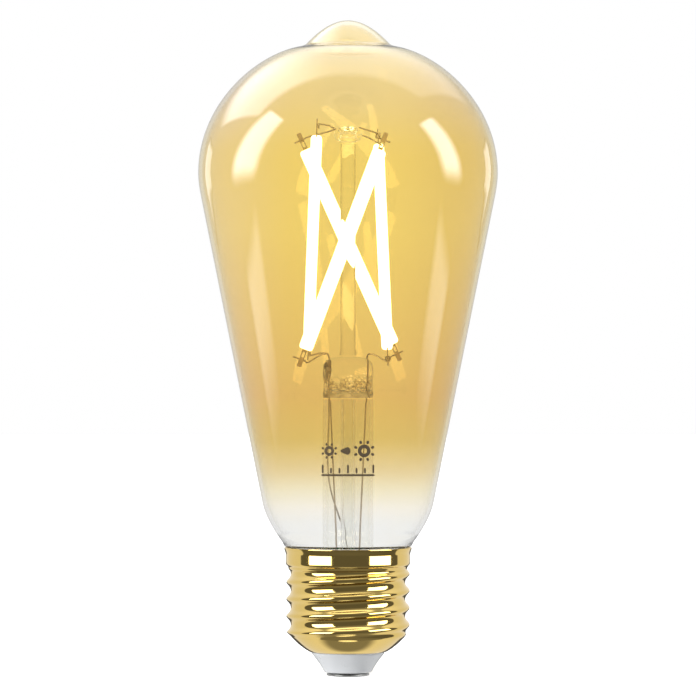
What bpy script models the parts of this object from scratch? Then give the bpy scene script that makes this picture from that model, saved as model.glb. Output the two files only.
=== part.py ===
"""Filament smart bulb with an E27 screw cap.

Built in metres, +Z up along the bulb, origin at the centre of the flat face
of the centre contact.  Every size below is in millimetres; MM turns the
finished meshes into metres.
"""

import math

import bmesh
import bpy
from mathutils import Matrix, Vector

MM = 0.001

# Fits
CLEARANCE = 0.3          # between pieces that seat in or on one another
FACET_SAG = 0.08         # how far a flat facet cuts inside its round
LEAD_TUCK = 0.93         # share of a lead's spread just below the press
WELD_GAP = 0.1           # between a wire and the tab it is welded to

# Overall
OVERALL_LENGTH = 140.0
GLOBE_RADIUS = 32.0
GLASS_WALL = 0.8

# Outline of the globe, heights given down from its tip or up from the cap
WIDEST_DROP = 32.5
CONE_HEAD_DROP = 39.2
CONE_HEAD_INSET = 0.9    # the straight cone ends this far inside the widest radius
CONE_FOOT_RADIUS = 18.3
CONE_FOOT_RISE = 9.6
SHOULDER_OVERHANG = 0.65 # glass beyond the rim of the cap
SHOULDER_RISE = 1.2
NUB_RADIUS = 8.9
NUB_HEIGHT = 5.0
NUB_BLEND = 3.6          # width of the hollow curve between dome and nub
NUB_BLEND_DROP = 1.15

# E27 screw cap
CAP_HEIGHT = 27.3
SHEET = 0.3              # brass sheet of the shell
THREAD_CREST = 13.2
THREAD_ROOT = 12.25
THREAD_PITCH = 3.629     # seven turns to the inch
THREAD_PHASE = 18.485    # height of a crest on the +X side
THREAD_BOTTOM = 8.3
THREAD_TOP = 23.3
THREAD_ROWS = 25
SKIRT_BOTTOM = 24.4
SKIRT_RADIUS = 13.3
RIM_RADIUS = 13.65
RIM_FLARE_HEIGHT = 0.6
LIP_RADIUS = 8.05        # lower opening of the shell
LIP_HEIGHT = 5.1

# Insulator and centre contact
CONTACT_THICKNESS = 0.45
CONTACT_RADIUS = 4.6
CONTACT_FLAT = 3.9       # radius of the flat underside
INSULATOR_FOOT = 5.1     # radius where the white cone starts
INSULATOR_TOP = 7.5
RIVET_RADIUS = 0.9
RIVET_RISE = 0.8         # rivet above the insulator

# Glass neck and stem
NECK_BOTTOM = 19.0
STEM_HEIGHT = 68.2       # top of the press above the contact
STEM_RADIUS = 5.4        # outside of the flare tube
FLARE_START = 26.5       # the tube widens below this height
EXHAUST_RADIUS = 1.6
EXHAUST_BORE = 1.0
EXHAUST_DROP = 2.4       # sealed tip below the neck
PRESS_HEIGHT = 8.8
PRESS_DEPTH = 2.2        # half the thickness of the pinched glass
COLUMN_RADIUS = 1.6
BUTTON_RADIUS = 2.0
BUTTON_HEIGHT = 3.4
BUTTON_REACH = 3.1       # half the width over the two lugs
BUTTON_DROP = 22.7       # top of the button below the tip of the globe

# Wires, tabs and light strips
WIRE_RADIUS = 0.2
TAB_WIDTH = 1.0
TAB_THICKNESS = 0.25
TAB_OVERSHOOT = 1.6      # tab beyond its weld
STRIP_WIDTH = 3.0
STRIP_DEPTH = 2.4
STRIP_END_GAP = 2.3      # from a strip's end to the weld on its tab
TOP_RING = 10.95         # radius of the upper welds about the axis
TOP_RING_DROP = 2.0      # upper welds below the top of the button
BOTTOM_RING = 13.3
BOTTOM_RING_RISE = 0.2   # lower welds above the press
# name, azimuth of the upper and lower weld in degrees, their height offsets
STRIPS = (
    ("warm_1", 233.2, 130.5, 1.6, 0.6),
    ("warm_2", 156.0, 37.2, -0.6, 0.4),
    ("cool_1", 313.6, 222.4, -1.2, -0.8),
    ("cool_2", 53.6, 308.9, 0.5, -0.5),
)

# Electronics in the cap
SLEEVE_WALL = 0.5
SLEEVE_DROP = 2.0        # top of the sleeve below the glass neck
SLEEVE_LIFT = 1.0        # bottom of the sleeve above the insulator
BOARD_THICKNESS = 0.8
BOARD_LIFT = 2.7         # underside of the board above the insulator
BOARD_MARGIN = 1.9       # edge of the board left free of tall parts
SOLDER_GAP = 0.1
CAPACITOR_RADIUS = 3.15
CAPACITOR_HEIGHT = 6.4
CAPACITOR_AZIMUTH = 160.0
INDUCTOR_RADIUS = 2.5
INDUCTOR_WAIST = 1.25
INDUCTOR_HEIGHT = 5.4
INDUCTOR_FLANGE = 0.85
INDUCTOR_AZIMUTH = 43.0
MODULE_WIDTH = 9.0
MODULE_HEIGHT = 6.6
MODULE_THICKNESS = 0.8
SHIELD_SIZE = (5.6, 1.4, 4.0)
RECTIFIER_SIZE = (4.0, 3.6, 1.4)
RECTIFIER_PLACE = (-5.0, 2.5)
CHIP_SIZE = (4.9, 3.9, 1.4)
CHIP_PLACE = (4.6, -2.2)
RESISTOR_RADIUS = 0.9
RESISTOR_LENGTH = 4.8
SHELL_WIRE_AZIMUTH = 300.0

# Facets
ROUND = 36
SHELL_ROUND = 32
SMALL_ROUND = 20
WIRE_SIDES = 6
SHARP_ANGLE = math.radians(35.0)

# Levels and fits that follow from the sizes above
PRESS_BOTTOM = STEM_HEIGHT - PRESS_HEIGHT
TUBE_TOP = PRESS_BOTTOM - CLEARANCE
BUTTON_TOP = OVERALL_LENGTH - BUTTON_DROP
TOP_WELDS = BUTTON_TOP - TOP_RING_DROP
BOTTOM_WELDS = STEM_HEIGHT + BOTTOM_RING_RISE
THREAD_MEAN = (THREAD_CREST + THREAD_ROOT) / 2
THREAD_AMPLITUDE = (THREAD_CREST - THREAD_ROOT) / 2
BORE = THREAD_ROOT - SHEET - FACET_SAG
NECK_RADIUS = BORE - CLEARANCE
NECK_BORE = NECK_RADIUS - GLASS_WALL
SLEEVE_RADIUS = BORE - CLEARANCE
SLEEVE_TOP = NECK_BOTTOM - SLEEVE_DROP
BOARD_RADIUS = SLEEVE_RADIUS - SLEEVE_WALL - FACET_SAG - CLEARANCE
BOARD_UNDERSIDE = INSULATOR_TOP + BOARD_LIFT
BOARD_TOP = BOARD_UNDERSIDE + BOARD_THICKNESS
RIVET_TOP = INSULATOR_TOP + RIVET_RISE
EXHAUST_TIP = NECK_BOTTOM - EXHAUST_DROP
WIRE_HOLE = WIRE_RADIUS + CLEARANCE
LEAD_SPREAD = STEM_RADIUS - GLASS_WALL - WIRE_HOLE - 0.1
LEAD_SPLIT = WIRE_HOLE + CLEARANCE
LEAD_FOOT = EXHAUST_RADIUS + WIRE_RADIUS + CLEARANCE + 0.2
MODULE_OFFSET = LEAD_FOOT + WIRE_RADIUS + CLEARANCE + 0.7

MATERIALS = {
    "amber_glass": ((0.93, 0.76, 0.42), 0.03, 0.0),
    "clear_glass": ((0.92, 0.94, 0.93), 0.05, 0.0),
    "gold_brass": ((0.83, 0.62, 0.25), 0.15, 1.0),
    "white_insulator": ((0.86, 0.87, 0.87), 0.35, 0.0),
    "nickel_contact": ((0.62, 0.62, 0.6), 0.3, 1.0),
    "cement": ((0.72, 0.68, 0.6), 0.9, 0.0),
    "phosphor": ((1.0, 0.86, 0.55), 0.5, 0.0),
    "tab_steel": ((0.6, 0.58, 0.55), 0.35, 1.0),
    "lead_wire": ((0.55, 0.53, 0.5), 0.3, 1.0),
    "sleeve_plastic": ((0.85, 0.85, 0.82), 0.5, 0.0),
    "board_laminate": ((0.02, 0.22, 0.1), 0.4, 0.0),
    "module_laminate": ((0.02, 0.05, 0.12), 0.4, 0.0),
    "tin_shield": ((0.7, 0.7, 0.7), 0.3, 1.0),
    "capacitor_sleeve": ((0.05, 0.06, 0.1), 0.35, 0.0),
    "ferrite": ((0.08, 0.08, 0.085), 0.6, 0.0),
    "copper": ((0.78, 0.35, 0.15), 0.3, 1.0),
    "chip_epoxy": ((0.03, 0.03, 0.03), 0.5, 0.0),
    "resistor_paint": ((0.1, 0.35, 0.5), 0.5, 0.0),
}


def clear_scene():
    """Remove whatever the file opened with."""
    for old in list(bpy.data.objects):
        bpy.data.objects.remove(old, do_unlink=True)


def material(name):
    """Return the named material, making it the first time."""
    found = bpy.data.materials.get(name)
    if found is not None:
        return found
    colour, roughness, metallic = MATERIALS[name]
    made = bpy.data.materials.new(name)
    made.use_nodes = True
    shader = made.node_tree.nodes["Principled BSDF"]
    shader.inputs["Base Color"].default_value = (*colour, 1.0)
    shader.inputs["Roughness"].default_value = roughness
    shader.inputs["Metallic"].default_value = metallic
    made.diffuse_color = (*colour, 1.0)
    return made


def add_empty(name, height=0.0, parent=None):
    """Add an empty on the axis that other pieces hang from."""
    empty = bpy.data.objects.new(name, None)
    empty.empty_display_size = 10.0 * MM
    empty.location = (0.0, 0.0, height * MM)
    empty.parent = parent
    bpy.context.scene.collection.objects.link(empty)
    return empty


def make_object(name, bm, material_name, parent="bulb", location=(0.0, 0.0, 0.0), axes=None):
    """Turn a bmesh in millimetres into a named, placed object in metres."""
    bmesh.ops.recalc_face_normals(bm, faces=bm.faces)
    bmesh.ops.scale(bm, vec=(MM, MM, MM), verts=bm.verts)
    mesh = bpy.data.meshes.new(name)
    bm.to_mesh(mesh)
    bm.free()
    mesh.materials.append(material(material_name))
    mesh.shade_smooth()
    mesh.set_sharp_from_angle(angle=SHARP_ANGLE)
    obj = bpy.data.objects.new(name, mesh)
    obj.parent = bpy.data.objects[parent]
    obj.location = Vector(location) * MM
    if axes is not None:
        obj.rotation_euler = Matrix(axes).transposed().to_euler()
    bpy.context.scene.collection.objects.link(obj)
    return obj


def bezier(start, first, second, end, steps):
    """Points of a cubic after its start point, up to and with its end."""
    points = []
    for step in range(1, steps + 1):
        t = step / steps
        u = 1.0 - t
        weights = (u ** 3, 3 * u * u * t, 3 * u * t * t, t ** 3)
        corners = (start, first, second, end)
        points.append(tuple(sum(w * c[k] for w, c in zip(weights, corners)) for k in (0, 1)))
    return points


def offset(points, distance):
    """Shift an open (radius, height) line to its left by the distance."""
    shifted = []
    for index, (radius, height) in enumerate(points):
        before = points[max(index - 1, 0)]
        after = points[min(index + 1, len(points) - 1)]
        along = Vector((after[0] - before[0], after[1] - before[1])).normalized()
        new_radius = radius - along.y * distance
        new_height = height + along.x * distance
        if radius == 0.0:
            new_radius = 0.0
            new_height = height - abs(distance)
        shifted.append((max(new_radius, 0.0), new_height))
    return shifted


def lathe(outline, steps=ROUND):
    """Spin a closed (radius, height) outline about the vertical axis."""
    bm = bmesh.new()
    verts = [bm.verts.new((radius, 0.0, height)) for radius, height in outline]
    edges = []
    for first, second in zip(verts, verts[1:] + verts[:1]):
        if first.co.x > 0.0 or second.co.x > 0.0:
            edges.append(bm.edges.new((first, second)))
    bmesh.ops.spin(
        bm, geom=verts + edges, cent=(0.0, 0.0, 0.0), axis=(0.0, 0.0, 1.0),
        angle=2 * math.pi, steps=steps, use_merge=True,
    )
    bmesh.ops.remove_doubles(bm, verts=bm.verts, dist=1e-4)
    return bm


def loft(rows, sides, power=2.6):
    """Skin level superellipse rows of (height, half width, half depth)."""
    bm = bmesh.new()
    rings = []
    for height, wide, deep in rows:
        ring = []
        for side in range(sides):
            angle = 2 * math.pi * side / sides
            c = math.cos(angle)
            s = math.sin(angle)
            x = math.copysign(abs(c) ** (2 / power), c) * wide
            y = math.copysign(abs(s) ** (2 / power), s) * deep
            ring.append(bm.verts.new((x, y, height)))
        rings.append(ring)
    skin(bm, rings)
    return bm


def skin(bm, rings):
    """Join rings of equal count into a closed skin with flat ends."""
    for lower, upper in zip(rings, rings[1:]):
        count = len(lower)
        for side in range(count):
            after = (side + 1) % count
            bm.faces.new((lower[side], lower[after], upper[after], upper[side]))
    bm.faces.new(list(reversed(rings[0])))
    bm.faces.new(rings[-1])


def rounded_path(waypoints, per_span):
    """Catmull-Rom line through the waypoints, kept straight at the ends."""
    points = [Vector(point) for point in waypoints]
    padded = [points[0] * 2 - points[1]] + points + [points[-1] * 2 - points[-2]]
    path = [points[0]]
    for index in range(1, len(padded) - 2):
        a, b, c, d = padded[index - 1:index + 3]
        steps = per_span if (c - b).length < 25.0 else 2 * per_span
        for step in range(1, steps + 1):
            t = step / steps
            bend = (b * 2) + (c - a) * t
            bend += (a * 2 - b * 5 + c * 4 - d) * t * t
            bend += (b * 3 - a - c * 3 + d) * t * t * t
            path.append(bend / 2)
    return path


def wire(name, waypoints, material_name, parent="bulb", per_span=3):
    """Sweep a round wire along a rounded line."""
    path = rounded_path(waypoints, per_span)
    bm = bmesh.new()
    side_way = Vector((0.31, 0.87, 0.19))
    rings = []
    for index, point in enumerate(path):
        before = path[max(index - 1, 0)]
        after = path[min(index + 1, len(path) - 1)]
        along = (after - before).normalized()
        side_way = (side_way - along * side_way.dot(along)).normalized()
        other_way = along.cross(side_way)
        ring = []
        for side in range(WIRE_SIDES):
            angle = 2 * math.pi * side / WIRE_SIDES
            spoke = side_way * math.cos(angle) + other_way * math.sin(angle)
            ring.append(bm.verts.new(point + spoke * WIRE_RADIUS))
        rings.append(ring)
    skin(bm, rings)
    return make_object(name, bm, material_name, parent)


def block(name, centre, size, material_name, parent="bulb", axes=None, bevel=0.0):
    """Box about a centre, turned to the given axes, with rounded edges."""
    bm = bmesh.new()
    bmesh.ops.create_cube(bm, size=1.0)
    bmesh.ops.scale(bm, vec=size, verts=bm.verts)
    if bevel > 0.0:
        bmesh.ops.bevel(bm, geom=bm.edges, offset=bevel, segments=2, affect="EDGES")
    return make_object(name, bm, material_name, parent, centre, axes)


def rod(name, centre, radius, length, material_name, parent="bulb", axes=None, sides=SMALL_ROUND):
    """Solid cylinder about a centre, its length along its third axis."""
    bm = bmesh.new()
    bmesh.ops.create_cone(
        bm, cap_ends=True, segments=sides, radius1=radius, radius2=radius, depth=length)
    return make_object(name, bm, material_name, parent, centre, axes)


def cut(target, cutter):
    """Take a cutter out of a target, leaving the cutter out of the build."""
    cutter.hide_render = True
    cutter.display_type = "WIRE"
    modifier = target.modifiers.new(cutter.name, "BOOLEAN")
    modifier.operation = "DIFFERENCE"
    modifier.solver = "EXACT"
    modifier.object = cutter


def envelope_outline():
    """Outer line of the glass from the foot of the neck to the nub."""
    neck_top = (NECK_RADIUS, CAP_HEIGHT - 2.8)
    shoulder = (RIM_RADIUS + SHOULDER_OVERHANG, CAP_HEIGHT + SHOULDER_RISE)
    cone_foot = (CONE_FOOT_RADIUS, CAP_HEIGHT + CONE_FOOT_RISE)
    cone_head = (GLOBE_RADIUS - CONE_HEAD_INSET, OVERALL_LENGTH - CONE_HEAD_DROP)
    widest = (GLOBE_RADIUS, OVERALL_LENGTH - WIDEST_DROP)
    nub_flank = (NUB_RADIUS, OVERALL_LENGTH - NUB_HEIGHT)
    nub_foot = (NUB_RADIUS + NUB_BLEND, nub_flank[1] - NUB_BLEND_DROP)
    slope = (cone_head[0] - cone_foot[0]) / (cone_head[1] - cone_foot[1])
    dome_rise = nub_foot[1] - widest[1]
    dome_run = widest[0] - nub_foot[0]
    line = [(NECK_RADIUS, NECK_BOTTOM), neck_top]
    line += bezier(
        neck_top, (NECK_RADIUS, CAP_HEIGHT + 0.3),
        (RIM_RADIUS - 0.05, CAP_HEIGHT + 0.4), shoulder, 6)
    line += bezier(
        shoulder, (shoulder[0] + 1.6, shoulder[1] + 2.1),
        (cone_foot[0] - 3.0 * slope, cone_foot[1] - 3.0), cone_foot, 5)
    line += bezier(
        cone_foot, (cone_foot[0] + 15.0 * slope, cone_foot[1] + 15.0),
        (cone_head[0] - 15.0 * slope, cone_head[1] - 15.0), cone_head, 3)
    line += bezier(
        cone_head, (cone_head[0] + 2.5 * slope, cone_head[1] + 2.5),
        (widest[0], widest[1] - 2.3), widest, 3)
    line += bezier(
        widest, (widest[0], widest[1] + 0.512 * dome_rise),
        (nub_foot[0] + 0.46 * dome_run, nub_foot[1] - 0.3 * 0.46 * dome_run), nub_foot, 9)
    line += bezier(
        nub_foot, (nub_foot[0] - NUB_BLEND / 3, nub_foot[1] + 0.36),
        (nub_flank[0] + 0.6, nub_flank[1] - 0.6), nub_flank, 2)
    line += bezier(
        nub_flank, (0.74 * NUB_RADIUS, nub_flank[1] + 0.48 * NUB_HEIGHT),
        (0.4 * NUB_RADIUS, OVERALL_LENGTH), (0.0, OVERALL_LENGTH), 4)
    return line


def shell_outline():
    """Outer line of the brass shell with the thread zone at its mean radius."""
    lip = (LIP_RADIUS, LIP_HEIGHT)
    taper_top = (THREAD_ROOT - 0.15, THREAD_BOTTOM)
    line = [lip]
    line += bezier(
        lip, (lip[0] + 1.25, lip[1] + 0.1),
        (taper_top[0] - 1.2, taper_top[1] - 1.4), taper_top, 4)
    for row in range(1, THREAD_ROWS + 1):
        share = row / THREAD_ROWS
        height = THREAD_BOTTOM + (THREAD_TOP - THREAD_BOTTOM) * share
        blend = min(row / 2, 1.0)
        line.append((taper_top[0] + (THREAD_MEAN - taper_top[0]) * blend, height))
    line.append(((THREAD_MEAN + SKIRT_RADIUS) / 2 + 0.1, (THREAD_TOP + SKIRT_BOTTOM) / 2))
    line.append((SKIRT_RADIUS, SKIRT_BOTTOM))
    line.append((SKIRT_RADIUS, CAP_HEIGHT - RIM_FLARE_HEIGHT))
    line.append((RIM_RADIUS, CAP_HEIGHT))
    return line


def thread_wave(angle, height):
    """Radial offset of the rolled thread at an angle and a height."""
    run_in = (height - THREAD_BOTTOM) / (0.35 * THREAD_PITCH)
    run_out = (THREAD_TOP - height) / (0.2 * THREAD_PITCH)
    fade = max(0.0, min(1.0, run_in, run_out))
    turns = (height - THREAD_PHASE) / THREAD_PITCH
    return THREAD_AMPLITUDE * fade * math.cos(2 * math.pi * turns - angle)


def build_cap():
    """Brass shell, white insulator, centre contact and cement."""
    outer = shell_outline()
    inner = offset(outer, SHEET)
    bm = lathe(outer + list(reversed(inner)), SHELL_ROUND)
    for vert in bm.verts:
        radius = math.hypot(vert.co.x, vert.co.y)
        angle = math.atan2(vert.co.y, vert.co.x)
        factor = 1.0 + thread_wave(angle, vert.co.z) / radius
        vert.co.x *= factor
        vert.co.y *= factor
    make_object("cap_shell", bm, "gold_brass")

    rivet_hole = RIVET_RADIUS + CLEARANCE
    throat = LIP_RADIUS - CLEARANCE
    foot = CONTACT_THICKNESS + CLEARANCE
    seat = []
    for radius, height in offset(outer[:6], SHEET + CLEARANCE):
        if radius > throat + 0.1 and height < INSULATOR_TOP - 0.3:
            seat.append((radius, height))
    profile = [(rivet_hole, foot), (INSULATOR_FOOT - 0.3, foot)]
    profile += [(INSULATOR_FOOT, foot + 0.2), (throat, LIP_HEIGHT - 0.4)]
    profile += [(throat, LIP_HEIGHT + SHEET + CLEARANCE)]
    profile += seat
    profile += [(seat[-1][0] + 0.1, INSULATOR_TOP), (rivet_hole, INSULATOR_TOP)]
    make_object("cap_insulator", lathe(profile), "white_insulator")

    bore = WIRE_RADIUS + CLEARANCE
    profile = [(0.0, 0.0), (CONTACT_FLAT, 0.0), (CONTACT_RADIUS, 0.2)]
    profile += [(CONTACT_RADIUS, CONTACT_THICKNESS), (RIVET_RADIUS, CONTACT_THICKNESS)]
    profile += [(RIVET_RADIUS, RIVET_TOP), (bore, RIVET_TOP)]
    profile += [(bore, CONTACT_THICKNESS + 0.15), (0.0, CONTACT_THICKNESS + 0.15)]
    make_object("centre_contact", lathe(profile), "nickel_contact")

    skirt_bore = SKIRT_RADIUS - SHEET - CLEARANCE
    low = SKIRT_BOTTOM + CLEARANCE
    high = low + 1.1
    near = NECK_RADIUS + 0.45
    profile = [(near, low), (skirt_bore, low), (skirt_bore, high), (near + 0.2, high)]
    make_object("basing_cement", lathe(profile), "cement")


def build_glass():
    """Globe, flare, press, exhaust tube, column and button."""
    outer = envelope_outline()
    inner = offset(outer, GLASS_WALL)
    inner[0] = (NECK_BORE, NECK_BOTTOM)
    make_object("glass_envelope", lathe(outer + list(reversed(inner))), "amber_glass")

    flange = NECK_BORE - FACET_SAG - CLEARANCE
    low = NECK_BOTTOM + 0.2
    outer = [(flange, low)]
    outer += bezier(
        (flange, low), (flange - 1.5, low + 0.3),
        (STEM_RADIUS, low + 3.2), (STEM_RADIUS, FLARE_START), 6)
    outer.append((STEM_RADIUS, TUBE_TOP))
    inner = offset(outer, GLASS_WALL)
    inner[0] = (flange - GLASS_WALL, low - 0.2)
    inner[-1] = (STEM_RADIUS - GLASS_WALL, TUBE_TOP)
    make_object("stem_flare", lathe(outer + list(reversed(inner)), 32), "clear_glass")

    tip = EXHAUST_TIP
    profile = [(0.0, tip), (0.5 * EXHAUST_RADIUS, tip + 0.25)]
    profile += [(EXHAUST_RADIUS, tip + 1.8), (EXHAUST_RADIUS, TUBE_TOP)]
    profile += [(EXHAUST_BORE, TUBE_TOP), (EXHAUST_BORE, tip + 2.2), (0.0, tip + 1.4)]
    make_object("exhaust_tube", lathe(profile, SMALL_ROUND), "clear_glass")

    wide = STEM_RADIUS
    deep = PRESS_DEPTH
    h = PRESS_HEIGHT
    rows = (
        (PRESS_BOTTOM, 0.98 * wide, 1.6 * deep),
        (PRESS_BOTTOM + 0.17 * h, 1.02 * wide, deep),
        (PRESS_BOTTOM + 0.4 * h, 0.97 * wide, deep),
        (PRESS_BOTTOM + 0.6 * h, wide, 1.2 * deep),
        (PRESS_BOTTOM + 0.8 * h, 0.98 * wide, 1.2 * deep),
        (PRESS_BOTTOM + 0.93 * h, 0.87 * wide, 1.1 * deep),
        (STEM_HEIGHT, 0.6 * wide, 0.85 * deep),
    )
    press = make_object("stem_press", loft(rows, 28), "clear_glass")
    for index, (x, y) in enumerate(press_holes()):
        middle = (x, y, STEM_HEIGHT - PRESS_HEIGHT / 2)
        cutter = rod(
            f"press_bore_{index + 1}", middle, WIRE_HOLE, 1.5 * PRESS_HEIGHT,
            "clear_glass", sides=10)
        cut(press, cutter)

    button_bottom = BUTTON_TOP - BUTTON_HEIGHT
    column_bottom = STEM_HEIGHT + CLEARANCE
    column_top = button_bottom - CLEARANCE
    profile = [(0.0, column_bottom), (COLUMN_RADIUS, column_bottom)]
    profile += [(COLUMN_RADIUS, column_top), (0.0, column_top)]
    make_object("support_column", lathe(profile, SMALL_ROUND), "clear_glass")

    ring = BUTTON_RADIUS
    rows = (
        (button_bottom, 1.05 * COLUMN_RADIUS, 1.05 * COLUMN_RADIUS),
        (button_bottom + 0.18 * BUTTON_HEIGHT, 0.9 * BUTTON_REACH, ring),
        (button_bottom + 0.5 * BUTTON_HEIGHT, BUTTON_REACH, ring),
        (button_bottom + 0.65 * BUTTON_HEIGHT, 0.8 * BUTTON_REACH, ring),
        (button_bottom + 0.8 * BUTTON_HEIGHT, ring, ring),
        (BUTTON_TOP, 0.8 * ring, 0.8 * ring),
    )
    make_object("column_button", loft(rows, 24, power=2.2), "clear_glass")


def press_holes():
    """Where the three lead wires pass through the press."""
    return (
        (-LEAD_SPREAD, LEAD_SPLIT),
        (-LEAD_SPREAD, -LEAD_SPLIT),
        (LEAD_SPREAD, 0.0),
    )


def ring_point(radius, azimuth, height):
    """Point on a level ring about the axis."""
    angle = math.radians(azimuth)
    return Vector((radius * math.cos(angle), radius * math.sin(angle), height))


def strip_frame(strip):
    """Upper and lower weld of a strip and its width, depth and long axes."""
    _, top_azimuth, bottom_azimuth, top_rise, bottom_rise = strip
    top = ring_point(TOP_RING, top_azimuth, TOP_WELDS + top_rise)
    bottom = ring_point(BOTTOM_RING, bottom_azimuth, BOTTOM_WELDS + bottom_rise)
    along = (top - bottom).normalized()
    turn = (bottom_azimuth - top_azimuth + 540.0) % 360.0 - 180.0
    outward = ring_point(1.0, top_azimuth + turn / 2, 0.0)
    outward = (outward - along * outward.dot(along)).normalized()
    across = outward.cross(along)
    return top, bottom, across, outward, along


def build_strips():
    """Light strips with a flat tab at each end."""
    for strip in STRIPS:
        name = strip[0]
        top, bottom, across, outward, along = strip_frame(strip)
        axes = (across, outward, along)
        length = (top - bottom).length - 2 * STRIP_END_GAP
        middle = (top + bottom) / 2
        block(
            f"filament_{name}", middle, (STRIP_WIDTH, STRIP_DEPTH, length),
            "phosphor", axes=axes, bevel=0.45)
        tab_length = STRIP_END_GAP + TAB_OVERSHOOT - WELD_GAP
        reach = length / 2 + WELD_GAP + tab_length / 2
        size = (TAB_WIDTH, TAB_THICKNESS, tab_length)
        block(f"tab_{name}_top", middle + along * reach, size, "tab_steel", axes=axes)
        block(f"tab_{name}_bottom", middle - along * reach, size, "tab_steel", axes=axes)


def weld_line(frame, end, heading, reach_in, reach_out):
    """Three points of a wire crossing the inner face of a strip's tab."""
    top, bottom, across, outward, _ = frame
    point = top if end == "top" else bottom
    way = across if across.dot(heading) > 0.0 else -across
    point = point - outward * (TAB_THICKNESS / 2 + WIRE_RADIUS + WELD_GAP)
    edge = TAB_WIDTH / 2 + WIRE_RADIUS
    return [point - way * (edge + reach_in), point - way * edge, point + way * reach_out]


def hairpin_line(frame, end, heading, reach_in, reach_out):
    """Points of a wire bent round the edge of a strip's tab and back."""
    top, bottom, across, outward, _ = frame
    point = top if end == "top" else bottom
    way = across if across.dot(heading) > 0.0 else -across
    half = TAB_THICKNESS / 2 + WIRE_RADIUS + WELD_GAP
    edge = TAB_WIDTH / 2 + 0.1
    past = edge + half
    return [
        point - outward * half - way * (edge + reach_in),
        point - outward * half - way * edge,
        point - outward * half + way * edge,
        point + way * past,
        point + outward * half + way * edge,
        point + outward * half - way * edge,
        point + outward * half - way * (edge + reach_out),
    ]


def lead_rise(hole, foot):
    """A lead from the board up through its hole in the press."""
    x, y = hole
    low_x, low_y = foot
    return [
        (low_x, low_y, BOARD_TOP + SOLDER_GAP),
        (low_x, low_y, BOARD_TOP + 4.0),
        (low_x, low_y, FLARE_START),
        (LEAD_TUCK * x, y, PRESS_BOTTOM - 4.0),
        (x, y, PRESS_BOTTOM),
        (x, y, STEM_HEIGHT - 0.6),
    ]


def build_wires():
    """Leads through the press, links over the strip tops, anchor wire."""
    frames = {strip[0]: strip_frame(strip) for strip in STRIPS}
    left = Vector((-1.0, 0.0, 0.0))
    back = Vector((0.0, 1.0, 0.0))
    rise = Vector((0.0, 0.0, 1.0))
    warm_hole, cool_hole, common_hole = press_holes()

    weld = weld_line(frames["warm_1"], "bottom", back, 0.9, 1.2)
    start = Vector((*warm_hole, STEM_HEIGHT))
    path = lead_rise(warm_hole, (-LEAD_FOOT, -LEAD_FOOT))
    wire("lead_warm", path + [start.lerp(weld[0], 0.3) + rise * 0.7] + weld, "lead_wire")

    weld = weld_line(frames["cool_1"], "bottom", left, 0.9, 1.9)
    start = Vector((*cool_hole, STEM_HEIGHT))
    path = lead_rise(cool_hole, (0.3, LEAD_FOOT + 0.5))
    path[3] = (LEAD_TUCK * cool_hole[0], cool_hole[1] + 0.3, PRESS_BOTTOM - 5.0)
    wire("lead_cool", path + [start.lerp(weld[0], 0.3) + rise * 0.9] + weld, "lead_wire")

    weld = hairpin_line(frames["cool_2"], "bottom", -back, 0.9, 0.9)
    weld += weld_line(frames["warm_2"], "bottom", -left, 0.7, 1.4)
    start = Vector((*common_hole, STEM_HEIGHT))
    path = lead_rise(common_hole, (LEAD_FOOT, -LEAD_FOOT))
    wire("lead_common", path + [start.lerp(weld[0], 0.3) + rise * 0.8] + weld, "lead_wire")

    knee = Vector((-BUTTON_REACH + 0.45, 0.0, BUTTON_TOP - 0.45))
    weld_a = weld_line(frames["warm_1"], "top", -back, 0.9, 1.2)
    weld_b = weld_line(frames["warm_2"], "top", left, 0.9, 1.7)
    path = list(reversed(weld_a)) + [
        knee + Vector((-1.6, -2.4, 0.6)), knee + Vector((-0.3, -0.45, 0.1)), knee,
        knee + Vector((-0.3, 0.45, -0.1)), knee + Vector((-1.6, 1.6, -0.5)),
    ] + weld_b
    wire("link_warm", path, "lead_wire")

    weld = hairpin_line(frames["cool_2"], "top", back, 0.9, 0.9)
    weld += weld_line(frames["cool_1"], "top", -left, 0.7, 1.5)
    start = Vector((BUTTON_RADIUS + CLEARANCE + 0.2, 0.2, BUTTON_TOP - 0.15))
    wire("link_cool", [start, start.lerp(weld[0], 0.3)] + weld, "lead_wire")

    top, _, _, outward, along = frames["cool_1"]
    lug = Vector((BUTTON_REACH + 0.3, 0.0, BUTTON_TOP - 0.5 * BUTTON_HEIGHT - 0.2))
    tip = top - along * 1.2 - outward * (TAB_THICKNESS / 2 + 2 * WIRE_RADIUS)
    wire("anchor_wire_cool", [lug, lug.lerp(tip, 0.4) + rise * 0.15, tip], "lead_wire")


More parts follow.
